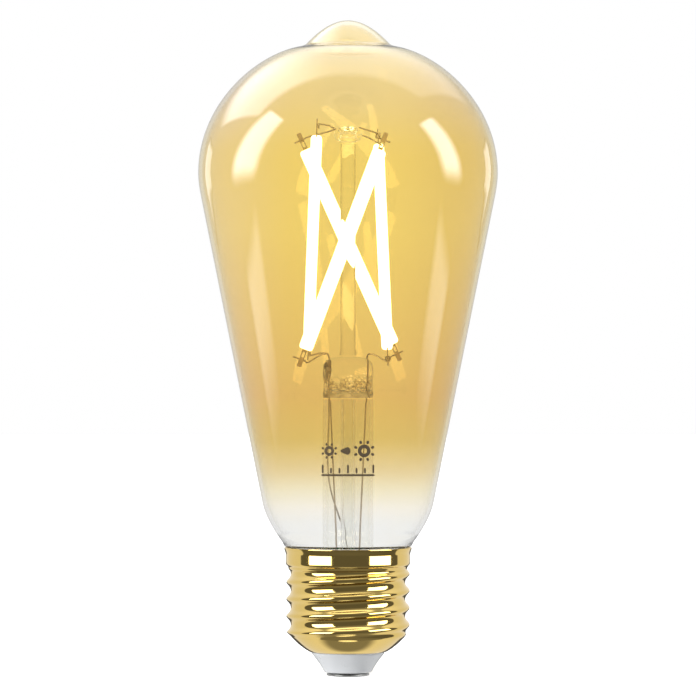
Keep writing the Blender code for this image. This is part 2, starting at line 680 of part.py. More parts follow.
def build_driver():
    """Liner, boards, parts and the two supply wires inside the cap."""
    low = INSULATOR_TOP + SLEEVE_LIFT
    inside = SLEEVE_RADIUS - SLEEVE_WALL
    profile = [(inside, low), (SLEEVE_RADIUS, low), (SLEEVE_RADIUS, SLEEVE_TOP)]
    profile += [(inside, SLEEVE_TOP)]
    make_object("driver_sleeve", lathe(profile), "sleeve_plastic")
    away = ring_point(1.0, SHELL_WIRE_AZIMUTH, 0.0)
    stand = away * (BOARD_RADIUS - 0.9)
    end = away * (BORE - WIRE_RADIUS - WELD_GAP)
    lift = Vector((0.0, 0.0, 1.0))
    wire("shell_wire", [
        stand + lift * (BOARD_TOP + SOLDER_GAP), stand + lift * (BOARD_TOP + 2.0),
        stand + lift * (SLEEVE_TOP - 0.4), stand.lerp(end, 0.45) + lift * (SLEEVE_TOP + 0.7),
        end + lift * (SLEEVE_TOP + 1.1),
    ], "copper")
    wire("contact_wire", [
        (0.0, 0.0, BOARD_UNDERSIDE - SOLDER_GAP), (0.0, 0.0, RIVET_TOP - 1.0),
        (0.0, 0.0, CONTACT_THICKNESS + 0.5),
    ], "copper", per_span=1)

    # From here heights are measured from the top face of the board.
    on = "board_face"
    rod(
        "driver_board", (0.0, 0.0, -BOARD_THICKNESS / 2), BOARD_RADIUS, BOARD_THICKNESS,
        "board_laminate", on, sides=SHELL_ROUND)
    middle = SOLDER_GAP + MODULE_HEIGHT / 2
    block(
        "radio_module", (0.0, -MODULE_OFFSET - MODULE_THICKNESS / 2, middle),
        (MODULE_WIDTH, MODULE_THICKNESS, MODULE_HEIGHT), "module_laminate", on)
    front = -MODULE_OFFSET - MODULE_THICKNESS - SOLDER_GAP - SHIELD_SIZE[1] / 2
    block(
        "radio_shield", (0.0, front, middle - 0.8), SHIELD_SIZE, "tin_shield", on,
        bevel=0.2)

    edge = CAPACITOR_RADIUS - 0.2
    profile = [(0.0, 0.0), (edge, 0.0), (CAPACITOR_RADIUS, 0.3)]
    profile += [(CAPACITOR_RADIUS, CAPACITOR_HEIGHT - 0.4)]
    profile += [(edge - 0.2, CAPACITOR_HEIGHT), (0.0, CAPACITOR_HEIGHT)]
    out = BOARD_RADIUS - BOARD_MARGIN / 2 - CAPACITOR_RADIUS
    place = ring_point(out, CAPACITOR_AZIMUTH, SOLDER_GAP)
    bm = lathe(profile, SMALL_ROUND)
    make_object("bulk_capacitor", bm, "capacitor_sleeve", on, place)

    top = INDUCTOR_HEIGHT
    waist = INDUCTOR_WAIST
    flange = INDUCTOR_FLANGE
    profile = [(0.0, 0.0), (INDUCTOR_RADIUS, 0.0), (INDUCTOR_RADIUS, flange)]
    profile += [(waist, flange), (waist, top - flange)]
    profile += [(INDUCTOR_RADIUS, top - flange), (INDUCTOR_RADIUS, top), (0.0, top)]
    out = BOARD_RADIUS - BOARD_MARGIN - INDUCTOR_RADIUS
    place_of_core = ring_point(out, INDUCTOR_AZIMUTH, SOLDER_GAP)
    make_object("inductor_core", lathe(profile, SMALL_ROUND), "ferrite", on, place_of_core)
    near = waist + SOLDER_GAP
    far = INDUCTOR_RADIUS - 0.2
    low = flange + SOLDER_GAP
    high = top - flange - SOLDER_GAP
    profile = [(near, low), (far, low), (far, high), (near, high)]
    make_object("inductor_winding", lathe(profile, SMALL_ROUND), "copper", on, place_of_core)

    under = -BOARD_THICKNESS - SOLDER_GAP
    place = (*RECTIFIER_PLACE, under - RECTIFIER_SIZE[2] / 2)
    block("bridge_rectifier", place, RECTIFIER_SIZE, "chip_epoxy", on)
    place = (*CHIP_PLACE, under - CHIP_SIZE[2] / 2)
    block("driver_chip", place, CHIP_SIZE, "chip_epoxy", on)
    lying = (Vector((0, 1, 0)), Vector((0, 0, 1)), Vector((1, 0, 0)))
    back = BOARD_RADIUS - BOARD_MARGIN - RESISTOR_RADIUS
    beside = place_of_core.x - INDUCTOR_RADIUS - CLEARANCE - RESISTOR_LENGTH / 2
    rod(
        "fusible_resistor", (beside, back, RESISTOR_RADIUS + SOLDER_GAP),
        RESISTOR_RADIUS, RESISTOR_LENGTH, "resistor_paint", on, lying, sides=16)


def main():
    """Build the bulb."""
    clear_scene()
    bulb = add_empty("bulb")
    add_empty("board_face", BOARD_TOP, bulb)
    build_cap()
    build_glass()
    build_strips()
    build_wires()
    build_driver()


main()
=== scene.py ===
"""Looks of the filament smart bulb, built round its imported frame.

Shapes are worked out in millimetres and turned into metres when a piece is
made.  +Z runs up the bulb, -Y faces the viewer of the printed mark.
"""

import math
import bmesh
import bpy
from bpy.props import FloatProperty, FloatVectorProperty, IntProperty, PointerProperty
from mathutils import Matrix, Vector, noise


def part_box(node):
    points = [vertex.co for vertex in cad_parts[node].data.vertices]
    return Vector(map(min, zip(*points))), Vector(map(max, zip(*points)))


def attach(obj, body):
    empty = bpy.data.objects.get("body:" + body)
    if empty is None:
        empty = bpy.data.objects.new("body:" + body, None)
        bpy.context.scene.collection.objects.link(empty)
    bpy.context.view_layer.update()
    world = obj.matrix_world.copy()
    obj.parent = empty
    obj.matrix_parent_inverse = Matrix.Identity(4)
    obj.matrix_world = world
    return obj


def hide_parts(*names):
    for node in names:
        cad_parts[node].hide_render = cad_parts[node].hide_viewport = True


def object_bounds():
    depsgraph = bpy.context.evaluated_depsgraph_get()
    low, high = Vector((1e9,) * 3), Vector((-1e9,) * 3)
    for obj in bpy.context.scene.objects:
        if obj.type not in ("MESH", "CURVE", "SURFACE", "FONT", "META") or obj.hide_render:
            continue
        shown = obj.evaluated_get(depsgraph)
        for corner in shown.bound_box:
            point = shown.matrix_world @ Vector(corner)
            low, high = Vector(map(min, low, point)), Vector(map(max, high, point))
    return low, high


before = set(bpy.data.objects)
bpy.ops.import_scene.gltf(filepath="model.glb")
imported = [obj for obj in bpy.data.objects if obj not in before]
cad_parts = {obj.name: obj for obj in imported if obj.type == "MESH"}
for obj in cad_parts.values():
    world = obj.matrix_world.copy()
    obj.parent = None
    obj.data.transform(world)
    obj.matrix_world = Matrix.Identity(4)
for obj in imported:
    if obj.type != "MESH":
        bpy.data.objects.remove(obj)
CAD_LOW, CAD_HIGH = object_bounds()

bl_info = {
    "name": "Filament smart bulb",
    "version": (1, 0, 0),
    "blender": (4, 5, 0),
    "location": "3D View > Sidebar > Bulb",
    "description": "Makes the pieces, finishes and stage of a filament smart bulb",
    "category": "Object",
}

MM = 0.001


def span(node):
    """Lowest and highest corner of a frame node, in millimetres."""
    low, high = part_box(node)
    return Vector(low) / MM, Vector(high) / MM


# Levels and radii taken from the frame, in millimetres
GLASS_LOW, GLASS_HIGH = span("glass_envelope")
SHELL_LOW, SHELL_HIGH = span("cap_shell")
INSULATOR_LOW, INSULATOR_HIGH = span("cap_insulator")
_, CONTACT_HIGH = span("centre_contact")
CEMENT_LOW, CEMENT_HIGH = span("basing_cement")
FLARE_LOW, FLARE_HIGH = span("stem_flare")
PRESS_LOW, PRESS_HIGH = span("stem_press")
TUBE_LOW, TUBE_HIGH = span("exhaust_tube")
COLUMN_LOW, COLUMN_HIGH = span("support_column")
BUTTON_LOW, BUTTON_HIGH = span("column_button")
SLEEVE_LOW, SLEEVE_HIGH = span("driver_sleeve")
BOARD_LOW, BOARD_HIGH = span("driver_board")

GLOBE_RADIUS = GLASS_HIGH.x
TIP = GLASS_HIGH.z
CAP_TOP = SHELL_HIGH.z
RIM_RADIUS = SHELL_HIGH.x
BUTTON_TOP = BUTTON_HIGH.z
STEM_TOP = PRESS_HIGH.z
BOARD_TOP = BOARD_HIGH.z

# Outline of the globe and the shell, in millimetres
NECK_RADIUS = 11.57
CONE_HEAD = (GLOBE_RADIUS - 0.9, TIP - 39.2)
CONE_FOOT = (18.3, CAP_TOP + 9.6)
CONE_SLOPE = (CONE_HEAD[0] - CONE_FOOT[0]) / (CONE_HEAD[1] - CONE_FOOT[1])
WIDEST = (GLOBE_RADIUS, TIP - 32.5)
NUB_FLANK = (8.9, TIP - 5.0)
NUB_FOOT = (12.5, TIP - 6.15)
SHOULDER = (RIM_RADIUS + 0.4, CAP_TOP + 1.2)
THREAD_BOTTOM = 8.3
THREAD_TOP = 23.3
THREAD_PHASE = 18.185
THREAD_SHARPNESS = 0.15  # narrows the crests and widens the roots
SKIRT_BOTTOM = 23.9
SKIRT_RADIUS = 13.3
SHEET = 0.3
LIP_RADIUS = 8.05
TAPER_GAP = 0.15  # from the thread's root in to the taper

# Stem, welds and strips, in millimetres and degrees
STEM_RADIUS = 5.4
STEM_WALL = 0.8
FLARE_START = 26.5
COLUMN_RADIUS = 1.6
TOP_RING = 10.95
BOTTOM_RING = 13.3
TOP_WELDS = BUTTON_TOP - 2.0
BOTTOM_WELDS = STEM_TOP + 0.2
STRIP_END_GAP = 2.3
TAB_OVERSHOOT = 1.6
WELD_GAP = 0.1
STRIPS = (
    ("warm_1", 233.2, 130.5, 1.6, 0.6),
    ("warm_2", 156.0, 37.2, -0.6, 0.4),
    ("cool_1", 313.6, 222.4, -1.2, -0.8),
    ("cool_2", 53.6, 308.9, 0.5, -0.5),
)
LEAD_SPREAD = 4.0
LEAD_SPLIT = 0.8
LEAD_FOOT = 2.3
LEAD_FEET = ((-LEAD_FOOT, -LEAD_FOOT), (0.3, LEAD_FOOT + 0.5), (LEAD_FOOT, -LEAD_FOOT))
SUPPLY_AZIMUTH = 300.0
SUPPLY_REACH = BOARD_HIGH.x - 0.9
LEAD_HOLES = ((-LEAD_SPREAD, LEAD_SPLIT), (-LEAD_SPREAD, -LEAD_SPLIT), (LEAD_SPREAD, 0.0))

FINE_ROUND = 192
ROUND = 96
SMALL_ROUND = 48
SHARP_ANGLE = math.radians(40.0)

# What polished metal mirrors, in degrees, with azimuth 0 towards the camera
DARK_FRONT = (-98.0, 105.0)
LEFT_SOFTBOX = (-77.0, -31.0)
RIGHT_SOFTBOX = (41.0, 86.0)
SOFTBOX_RISE = (-9.0, 38.0)
OVERHEAD_RING = (62.0, 72.0)
BACK_EDGE = (156.0, 162.0)
BACK_EDGE_RISE = (-24.0, -3.0)
UNDERSIDE = (56.0, 70.0)
GLEAM = (79.0, 81.0)
SIDE_TURN = (80.0, 100.0)
INNER_METAL = 2.6  # times the inner level, for metal seen through glass

SENSOR_MM = 36.0
GLASS_BOUNCES = 28
MIRROR_BOUNCES = 10


def length_property(name, description, millimetres):
    """A size that is set in millimetres and shown as a length."""
    return FloatProperty(
        name=name, description=description, default=millimetres * MM, min=0.0,
        precision=5, subtype="DISTANCE", unit="LENGTH")


def level_property(name, description, level):
    """A brightness, or a power in watts."""
    return FloatProperty(name=name, description=description, default=level, min=0.0)


def colour_property(name, description, colour):
    """A linear colour."""
    return FloatVectorProperty(
        name=name, description=description, default=colour, min=0.0, max=1.0,
        size=3, subtype="COLOR")


class BulbSizes(bpy.types.PropertyGroup):
    """Sizes a user would change."""

    glass_wall: length_property("Glass wall", "Thickness of the globe's wall", 0.8)
    tip_wall: length_property("Tip wall", "Thickness of the glass at the sealed tip", 0.95)
    thread_crest: length_property("Thread crest", "Outer radius of the screw thread", 13.2)
    thread_root: length_property("Thread root", "Radius at the foot of the thread", 12.25)
    thread_pitch: length_property("Thread pitch", "Height of one turn of the thread", 3.629)
    wire_radius: length_property("Wire radius", "Radius of the lead wires", 0.17)
    strip_width: length_property("Strip width", "Width of a light strip", 3.0)
    strip_depth: length_property("Strip depth", "Depth of a light strip", 2.4)
    tab_width: length_property("Tab width", "Width of the tab at a strip's end", 1.0)
    tab_thickness: length_property("Tab thickness", "Thickness of a tab", 0.25)
    wrinkle: length_property("Press wrinkle", "Height of the creases in the pinched glass", 0.42)
    mark_width: length_property("Mark width", "Width of the printed mark", 11.4)
    mark_height: length_property("Mark height", "Height of the middle of the mark", 46.4)
    winding_turns: IntProperty(
        name="Winding turns", description="Turns of copper on the inductor",
        default=13, min=1)


class BulbFinishes(bpy.types.PropertyGroup):
    """Colours a user would change."""

    amber_high: colour_property(
        "Upper amber", "Tint of one glass wall beside the strips", (0.955, 0.805, 0.485))
    amber_low: colour_property(
        "Lower amber", "Tint of one glass wall above the mark", (0.88, 0.70, 0.455))
    clear: colour_property("Clear glass", "Tint of the clear glass", (0.96, 0.965, 0.96))
    # Painted shade for glass seen edge-on, partly the longer path through the glass.
    rim: colour_property("Glass edge", "Tint of glass seen edge-on", (0.5, 0.47, 0.4))
    gold: colour_property("Gold plate", "Plated screw cap", (0.72, 0.52, 0.165))
    insulator: colour_property("Insulator", "Moulded insulator", (0.74, 0.76, 0.78))
    nickel: colour_property("Nickel", "Centre contact", (0.45, 0.45, 0.44))
    ink: colour_property("Ink", "Printed mark", (0.1, 0.07, 0.036))
    light: colour_property("Strip light", "Colour the strips glow in", (1.0, 0.93, 0.8))
    steel: colour_property("Wire steel", "Wires and tabs", (0.5, 0.42, 0.34))
    copper: colour_property("Copper", "Winding and supply wires", (0.75, 0.33, 0.14))
    laminate: colour_property("Board", "Green board lacquer", (0.015, 0.16, 0.07))
    light_strength: level_property("Strip strength", "How brightly the strips glow", 4.5)


class StageSettings(bpy.types.PropertyGroup):
    """Lights and camera."""

    camera_distance: length_property(
        "Camera distance", "From the axis of the bulb to the camera", 905.0)
    half_frame: length_property(
        "Half frame", "Half of what the picture spans at the bulb", 74.38)
    softbox: level_property("Softbox", "Brightness of the side softboxes", 7.0)
    glass_softbox: level_property(
        "Glass softbox", "Brightness of the softboxes the glass mirrors", 12.0)
    overhead: level_property("Overhead", "Brightness of the light above and behind", 1.8)
    inner_level: level_property(
        "Inner level", "Brightness of reflections seen through glass", 0.95)
    fill: level_property("Fill", "Brightness of the surroundings for dull surfaces", 0.65)
    key: level_property("Key", "Power of the key lamp in watts", 8.5)
    floor_radius: length_property("Floor", "Radius of the floor", 2500.0)


# ---------------------------------------------------------------- node trees


class Socket:
    """An output socket that takes part in sums."""

    def __init__(self, tree, link):
        self.tree = tree
        self.link = link

    def __add__(self, other):
        return self.tree.math("ADD", self, other)

    def __radd__(self, other):
        return self.tree.math("ADD", other, self)

    def __sub__(self, other):
        return self.tree.math("SUBTRACT", self, other)

    def __rsub__(self, other):
        return self.tree.math("SUBTRACT", other, self)

    def __mul__(self, other):
        return self.tree.math("MULTIPLY", self, other)

    def __rmul__(self, other):
        return self.tree.math("MULTIPLY", other, self)

    def __truediv__(self, other):
        return self.tree.math("DIVIDE", self, other)

    def __rtruediv__(self, other):
        return self.tree.math("DIVIDE", other, self)

    def __pow__(self, other):
        return self.tree.math("POWER", self, other)

    def __neg__(self):
        return self.tree.math("MULTIPLY", self, -1.0)


class Tree:
    """A shader or geometry node tree under construction."""

    def __init__(self, nodes_owner):
        self.nodes = nodes_owner.nodes
        self.links = nodes_owner.links

    def add(self, kind, settings=None, inputs=None, output=0):
        """Add a node, set it up, feed its sockets and return one output."""
        node = self.nodes.new(kind)
        for key, value in (settings or {}).items():
            if key == "stops":
                self.set_stops(node.color_ramp, value)
            else:
                setattr(node, key, value)
        for key, value in (inputs or {}).items():
            self.feed(node.inputs[key], value)
        if not node.outputs:
            return node
        return Socket(self, node.outputs[output])

    def math(self, operation, *values):
        """The result of a Math node."""
        return self.add("ShaderNodeMath", {"operation": operation}, dict(enumerate(values)))

    def feed(self, socket, value):
        """Link a socket to a result, or set its value."""
        if isinstance(value, Socket):
            self.links.new(value.link, socket)
        elif socket.type == "RGBA" and len(value) == 3:
            socket.default_value = (*value, 1.0)
        else:
            socket.default_value = value

    @staticmethod
    def set_stops(ramp, stops):
        """Give a colour ramp its stops, as (position, colour)."""
        while len(ramp.elements) > 1:
            ramp.elements.remove(ramp.elements[-1])
        ramp.elements[0].position = stops[0][0]
        for position, _ in stops[1:]:
            ramp.elements.new(position)
        for element, (_, colour) in zip(ramp.elements, stops):
            element.color = (*colour, 1.0) if len(colour) == 3 else colour

    def axes(self, vector):
        """The three parts of a vector."""
        split = self.add("ShaderNodeSeparateXYZ", None, {0: vector})
        outputs = split.link.node.outputs
        return [Socket(self, outputs[index]) for index in range(3)]

    def place(self):
        """Object coordinates."""
        return self.add("ShaderNodeTexCoord", output="Object")

    def step(self, value, low, high):
        """Smooth 0 to 1 as a value goes from low to high."""
        return self.add(
            "ShaderNodeMapRange", {"interpolation_type": "SMOOTHSTEP"},
            {"Value": value, "From Min": low, "From Max": high})

    def mix(self, factor, first, second):
        """Blend two colours."""
        return self.add(
            "ShaderNodeMix", {"data_type": "RGBA"}, {0: factor, 6: first, 7: second},
            output=2)

    def noise(self, scale, detail=2.0, vector=None, rough=0.5):
        """Noise over object coordinates, from 0 to 1."""
        return self.add(
            "ShaderNodeTexNoise", None, {
                "Vector": vector or self.place(), "Scale": scale,
                "Detail": detail, "Roughness": rough})

    def stretched(self, scales):
        """Object coordinates scaled unevenly, for a drawn or turned grain."""
        return self.add("ShaderNodeMapping", None, {"Vector": self.place(), "Scale": scales})


def make_material(name, shade):
    """Make a material whose surface inputs come from the shade function."""
    made = bpy.data.materials.new(name)
    made.use_nodes = True
    tree = Tree(made.node_tree)
    shader = made.node_tree.nodes["Principled BSDF"]
    for key, value in shade(tree).items():
        tree.feed(shader.inputs[key], value)
    return made


def bumped(tree, height, depth_mm, strength):
    """A normal from a height between 0 and 1."""
    return tree.add(
        "ShaderNodeBump", None,
        {"Strength": strength, "Distance": depth_mm * MM, "Height": height})


# ------------------------------------------------------------------ finishes


def painted_edge_shade(tree, colour, rim, power=5.0):
    """Painted shade: darken a glass tint where the glass is seen edge-on, partly standing for the
    longer path through the glass.
    """
    facing = tree.add("ShaderNodeLayerWeight", None, {"Blend": 0.5}, output="Facing")
    return tree.mix(facing ** power, colour, rim)


def amber_glass(finishes):
    """Amber coat that fades to clear glass above the cap, with a painted reflection paling its
    left flank and painted shade deepening its right flank.
    """
    clear = tuple(finishes.clear)
    low = tuple(finishes.amber_low)
    high = tuple(finishes.amber_high)
    middle = tuple((a + b) / 2 for a, b in zip(low, high))
    bottom, top = 0.030, 0.140

    def at(height):
        return (height - bottom) / (top - bottom)

    def shade(tree):
        across, _, height = tree.axes(tree.place())
        cloud = tree.noise(38.0, 3.0)
        wavy = height + (cloud - 0.5) * 0.0022
        along = (wavy - bottom) / (top - bottom)
        coat = tree.add("ShaderNodeValToRGB", {"stops": [
            (at(0.0320), clear),
            (at(0.0355), (0.985, 0.965, 0.915)),
            (at(0.0397), (0.962, 0.915, 0.765)),
            (at(0.0440), (0.915, 0.812, 0.585)),
            (at(0.0505), (0.862, 0.722, 0.425)),
            (at(0.0600), low),
            (at(0.0760), middle),
            (at(0.0950), high),
            (at(0.1120), high),
            (at(0.1240), (0.95, 0.82, 0.64)),
            (at(0.1385), (0.95, 0.85, 0.72)),
        ]}, {0: along})
        # Painted light: a paler, bluer left flank stands in for a reflection, and a deeper right
        # flank for shade.
        near = tree.mix(tree.step(-across, 0.010, 0.026), (1.0, 1.0, 0.8), (0.985, 1.0, 1.0))
        far = tree.mix(tree.step(across, 0.008, 0.026), (1.0, 1.0, 1.0), (0.94, 0.93, 1.0))
        painted_side_light = tree.add("ShaderNodeVectorMath", {"operation": "MULTIPLY"}, {0: near, 1: far})
        # The painted reflection and shade fade in above the neck.
        whole = tree.mix(tree.step(height, 0.040, 0.060), (1.0, 1.0, 1.0), painted_side_light)
        coat = tree.add("ShaderNodeVectorMath", {"operation": "MULTIPLY"}, {0: coat, 1: whole})
        return {
            "Base Color": painted_edge_shade(tree, coat, tuple(finishes.rim)),
            "Roughness": 0.0, "IOR": 1.5, "Transmission Weight": 1.0,
        }
    return make_material("amber_coat_glass", shade)


def clear_glass(finishes, name="stem_glass", rim=(0.55, 0.49, 0.36), power=6.0, bend=1.5):
    """Clear glass of the stem, with painted shade on its edges that shows as dark lines."""
    def shade(tree):
        tint = tree.mix(tree.noise(400.0), tuple(finishes.clear), (0.955, 0.95, 0.93))
        return {
            "Base Color": painted_edge_shade(tree, tint, rim, power),
            "Roughness": 0.0, "IOR": bend, "Transmission Weight": 1.0,
        }
    return make_material(name, shade)


def creased_glass_painted_shade(finishes):
    """Glass of the press, with folds low down and along one flank, and painted shade along the
    fold ridges.
    """
    low = PRESS_LOW.z * MM

    def shade(tree):
        x, _, z = tree.axes(tree.place())
        fold = tree.noise(560.0, 3.0, tree.stretched((1.15, 1.0, 1.45)), 0.62)
        away = tree.math("ABSOLUTE", fold - 0.5)
        ridge = 1.0 - tree.step(away, 0.012, 0.04)
        zone = tree.step(z, low - 0.0002, low + 0.0004)
        zone = zone * (1.0 - tree.step(z, low + 0.0030, low + 0.0056))
        flank = tree.step(-x, 0.0034, 0.0042) * (1.0 - tree.step(z, low + 0.0075, low + 0.0086))
        where = tree.math("MAXIMUM", zone, flank)
        # Painted shade: the fold ridges are tinted dark brown.
        tint = tree.mix(ridge * where, tuple(finishes.clear), (0.2, 0.13, 0.05))
        return {
            "Base Color": painted_edge_shade(tree, tint, (0.42, 0.34, 0.2), 4.0),
            "Roughness": 0.0, "IOR": 1.35, "Transmission Weight": 1.0,
            "Normal": bumped(tree, fold * where, 0.7, 1.0),
        }
    return make_material("creased_glass_painted_shade", shade)


def gold_plate(finishes):
    """Bright gold plate with faint marks of the rolling."""
    def shade(tree):
        grain = tree.noise(1.0, 4.0, tree.stretched((60.0, 60.0, 5200.0)))
        blotch = tree.noise(260.0, 3.0)
        gold = tuple(finishes.gold)
        worn = tuple(c * 0.9 for c in gold)
        return {
            "Base Color": tree.mix(blotch * 0.5, gold, worn),
            "Metallic": 1.0,
            "Roughness": 0.045 + grain * 0.05,
            "Normal": bumped(tree, grain, 0.002, 0.3),
        }
    return make_material("gold_plate", shade)


def moulded_insulator(finishes):
    """Satin moulded insulator."""
    def shade(tree):
        speck = tree.noise(900.0, 4.0)
        white = tuple(finishes.insulator)
        return {
            "Base Color": tree.mix(speck * 0.35, white, tuple(c * 0.93 for c in white)),
            "Roughness": 0.22 + speck * 0.16,
            "Coat Weight": 0.25,
            "Normal": bumped(tree, speck, 0.01, 0.3),
        }
    return make_material("moulded_insulator", shade)


def nickel(finishes):
    """Nickel plate with turned rings."""
    def shade(tree):
        x, y, _ = tree.axes(tree.place())
        radius = (x * x + y * y) ** 0.5
        rings = tree.math("SINE", radius * 52000.0)
        scuff = tree.noise(1400.0, 4.0)
        plate = tuple(finishes.nickel)
        return {
            "Base Color": tree.mix(scuff, plate, tuple(c * 0.75 for c in plate)),
            "Metallic": 1.0,
            "Roughness": 0.24 + scuff * 0.2,
            "Normal": bumped(tree, rings * 0.5 + 0.5, 0.004, 0.4),
        }
    return make_material("nickel_contact", shade)


def strip_phosphor(finishes):
    """Silicone and phosphor over the diodes, lit from inside."""
    def shade(tree):
        grit = tree.noise(1500.0, 3.0)
        light = tuple(finishes.light)
        return {
            "Base Color": tree.mix(grit, (0.95, 0.8, 0.42), (0.98, 0.87, 0.55)),
            "Roughness": 0.55,
            "Emission Color": tree.mix(grit, light, tuple(c * 0.97 for c in light)),
            "Emission Strength": finishes.light_strength,
            "Normal": bumped(tree, grit, 0.02, 0.4),
        }
    return make_material("strip_phosphor", shade)


def drawn_metal(name, colour, roughness):
    """Drawn or stamped metal with a fine grain and dull patches."""
    def shade(tree):
        grain = tree.noise(2600.0, 3.0)
        patch = tree.noise(420.0, 2.0)
        return {
            "Base Color": tree.mix(patch, colour, tuple(c * 0.72 for c in colour)),
            "Metallic": 1.0,
            "Roughness": roughness + grain * 0.18,
            "Normal": bumped(tree, grain, 0.006, 0.4),
        }
    return make_material(name, shade)


def dull_solid(name, colour, roughness, scale, depth_mm, spread=0.8):
    """Non-metal with a fine broken surface."""
    def shade(tree):
        grit = tree.noise(scale, 5.0)
        return {
            "Base Color": tree.mix(grit, colour, tuple(c * spread for c in colour)),
            "Roughness": roughness + (grit - 0.5) * 0.2,
            "Normal": bumped(tree, grit, depth_mm, 0.5),
        }
    return make_material(name, shade)


def laminate(name, mask, trace, plane):
    """Lacquered board with tracks in one plane."""
    def shade(tree):
        place = tree.axes(tree.place())
        across, up = place[plane[0]], place[plane[1]]
        sway = tree.noise(170.0, 1.0)
        wave = tree.math("SINE", (across + sway * 0.004) * 7000.0)
        cross = tree.math("SINE", (up - sway * 0.003) * 6000.0)
        patch = tree.step(tree.noise(260.0, 1.0), 0.48, 0.5)
        tracks = tree.step(wave, 0.55, 0.7) * patch + tree.step(cross, 0.6, 0.75) * (1.0 - patch)
        return {
            "Base Color": tree.mix(tracks, mask, trace),
            "Roughness": 0.3 + tree.noise(1500.0) * 0.15,
            "Normal": bumped(tree, tracks, 0.03, 0.5),
        }
    return make_material(name, shade)


def capacitor_sleeve(middle, radius, top):
    """Shrunk sleeve with a pale stripe, and a scored metal top."""
    def shade(tree):
        x, y, z = tree.axes(tree.place())
        from_x = x - middle.x * MM
        from_y = y - middle.y * MM
        reach = (from_x * from_x + from_y * from_y) ** 0.5
        lid = tree.step(z, (top - 0.18) * MM, (top - 0.14) * MM)
        lid = lid * (1.0 - tree.step(reach, (radius - 0.62) * MM, (radius - 0.58) * MM))
        stripe = tree.step(from_y, 0.55 * radius * MM, 0.6 * radius * MM)
        score = tree.math(
            "MINIMUM", tree.math("ABSOLUTE", from_x), tree.math("ABSOLUTE", from_y))
        groove = (1.0 - tree.step(score, 0.00004, 0.0001)) * lid
        film = tree.mix(stripe, (0.02, 0.03, 0.07), (0.55, 0.56, 0.6))
        return {
            "Base Color": tree.mix(lid, film, (0.7, 0.7, 0.71)),
            "Metallic": lid,
            "Roughness": 0.3 + tree.noise(1200.0) * 0.15,
            "Normal": bumped(tree, 1.0 - groove, 0.05, 0.6),
        }
    return make_material("capacitor_film", shade)


def banded_paint(centre, half):
    """Lacquer with four colour bands along X."""
    body = (0.62, 0.5, 0.34)
    bands = (
        (-0.62, (0.35, 0.12, 0.04)), (-0.3, (0.03, 0.03, 0.03)),
        (0.02, (0.03, 0.03, 0.03)), (0.58, (0.6, 0.42, 0.1)))

    def shade(tree):
        x, _, _ = tree.axes(tree.place())
        along = (x - centre * MM) / (half * MM)
        colour = body
        for at, paint in bands:
            away = tree.math("ABSOLUTE", along - at)
            colour = tree.mix(1.0 - tree.step(away, 0.07, 0.09), colour, paint)
        return {
            "Base Color": colour,
            "Roughness": 0.28 + tree.noise(1500.0) * 0.12,
            "Normal": bumped(tree, tree.noise(900.0), 0.01, 0.3),
        }
    return make_material("resistor_paint", shade)


# -------------------------------------------------------------------- shapes


def bezier(start, first, second, end, steps):
    """Points of a cubic after its start point, up to and with its end."""
    points = []
    for step in range(1, steps + 1):
        t = step / steps
        u = 1.0 - t
        weights = (u ** 3, 3 * u * u * t, 3 * u * t * t, t ** 3)
        corners = (start, first, second, end)
        points.append(tuple(sum(w * c[k] for w, c in zip(weights, corners)) for k in (0, 1)))
    return points


def extend(line, *parts):
    """Add points to a line, and curves given as (first, second, end, steps)."""
    for part in parts:
        if len(part) == 2:
            line.append(part)
        else:
            line += bezier(line[-1], *part)
    return line


def even_line(points, spacing):
    """The same open line with points added so that none are far apart."""
    line = [points[0]]
    for before, after in zip(points, points[1:]):
        gap = math.dist(before, after)
        count = max(1, math.ceil(gap / spacing))
        for index in range(1, count + 1):
            share = index / count
            line.append(tuple(b + (a - b) * share for b, a in zip(before, after)))
    return line


def wall_line(points, thickness):
    """The inner line of a wall, thickness being a function of height."""
    shifted = []
    for index, (radius, height) in enumerate(points):
        before = points[max(index - 1, 0)]
        after = points[min(index + 1, len(points) - 1)]
        along = Vector((after[0] - before[0], after[1] - before[1])).normalized()
        depth = thickness(height)
        if radius < 1e-6:
            shifted.append((0.0, height - depth))
        else:
            shifted.append((max(radius - along.y * depth, 0.0), height + along.x * depth))
    return shifted


def lathe(outline, steps):
    """Spin a closed (radius, height) outline about the vertical axis."""
    bm = bmesh.new()
    rings = []
    for radius, height in outline:
        if radius < 1e-6:
            rings.append([bm.verts.new((0.0, 0.0, height))])
            continue
        ring = []
        for step in range(steps):
            angle = 2 * math.pi * step / steps
            ring.append(bm.verts.new((radius * math.cos(angle), radius * math.sin(angle), height)))
        rings.append(ring)
    for lower, upper in zip(rings, rings[1:] + rings[:1]):
        if len(lower) == 1 and len(upper) == 1:
            continue
        for step in range(steps):
            after = (step + 1) % steps
            corners = []
            for ring, order in ((lower, (step, after)), (upper, (after, step))):
                if len(ring) == 1:
                    corners.append(ring[0])
                else:
                    corners += [ring[order[0]], ring[order[1]]]
            bm.faces.new(corners)
    return bm


def ring_skin(bm, rings):
    """Join rings of equal count into a closed skin."""
    for lower, upper in zip(rings, rings[1:]):
        count = len(lower)
        for side in range(count):
            after = (side + 1) % count
            bm.faces.new((lower[side], lower[after], upper[after], upper[side]))
    for ring in (list(reversed(rings[0])), rings[-1]):
        middle = sum((vert.co for vert in ring), Vector()) / len(ring)
        hub = bm.verts.new(middle)
        for first, second in zip(ring, ring[1:] + ring[:1]):
            bm.faces.new((first, second, hub))


def squircle(angle, power):
    """Unit point of a superellipse."""
    c = math.cos(angle)
    s = math.sin(angle)
    return (
        math.copysign(abs(c) ** (2 / power), c),
        math.copysign(abs(s) ** (2 / power), s))


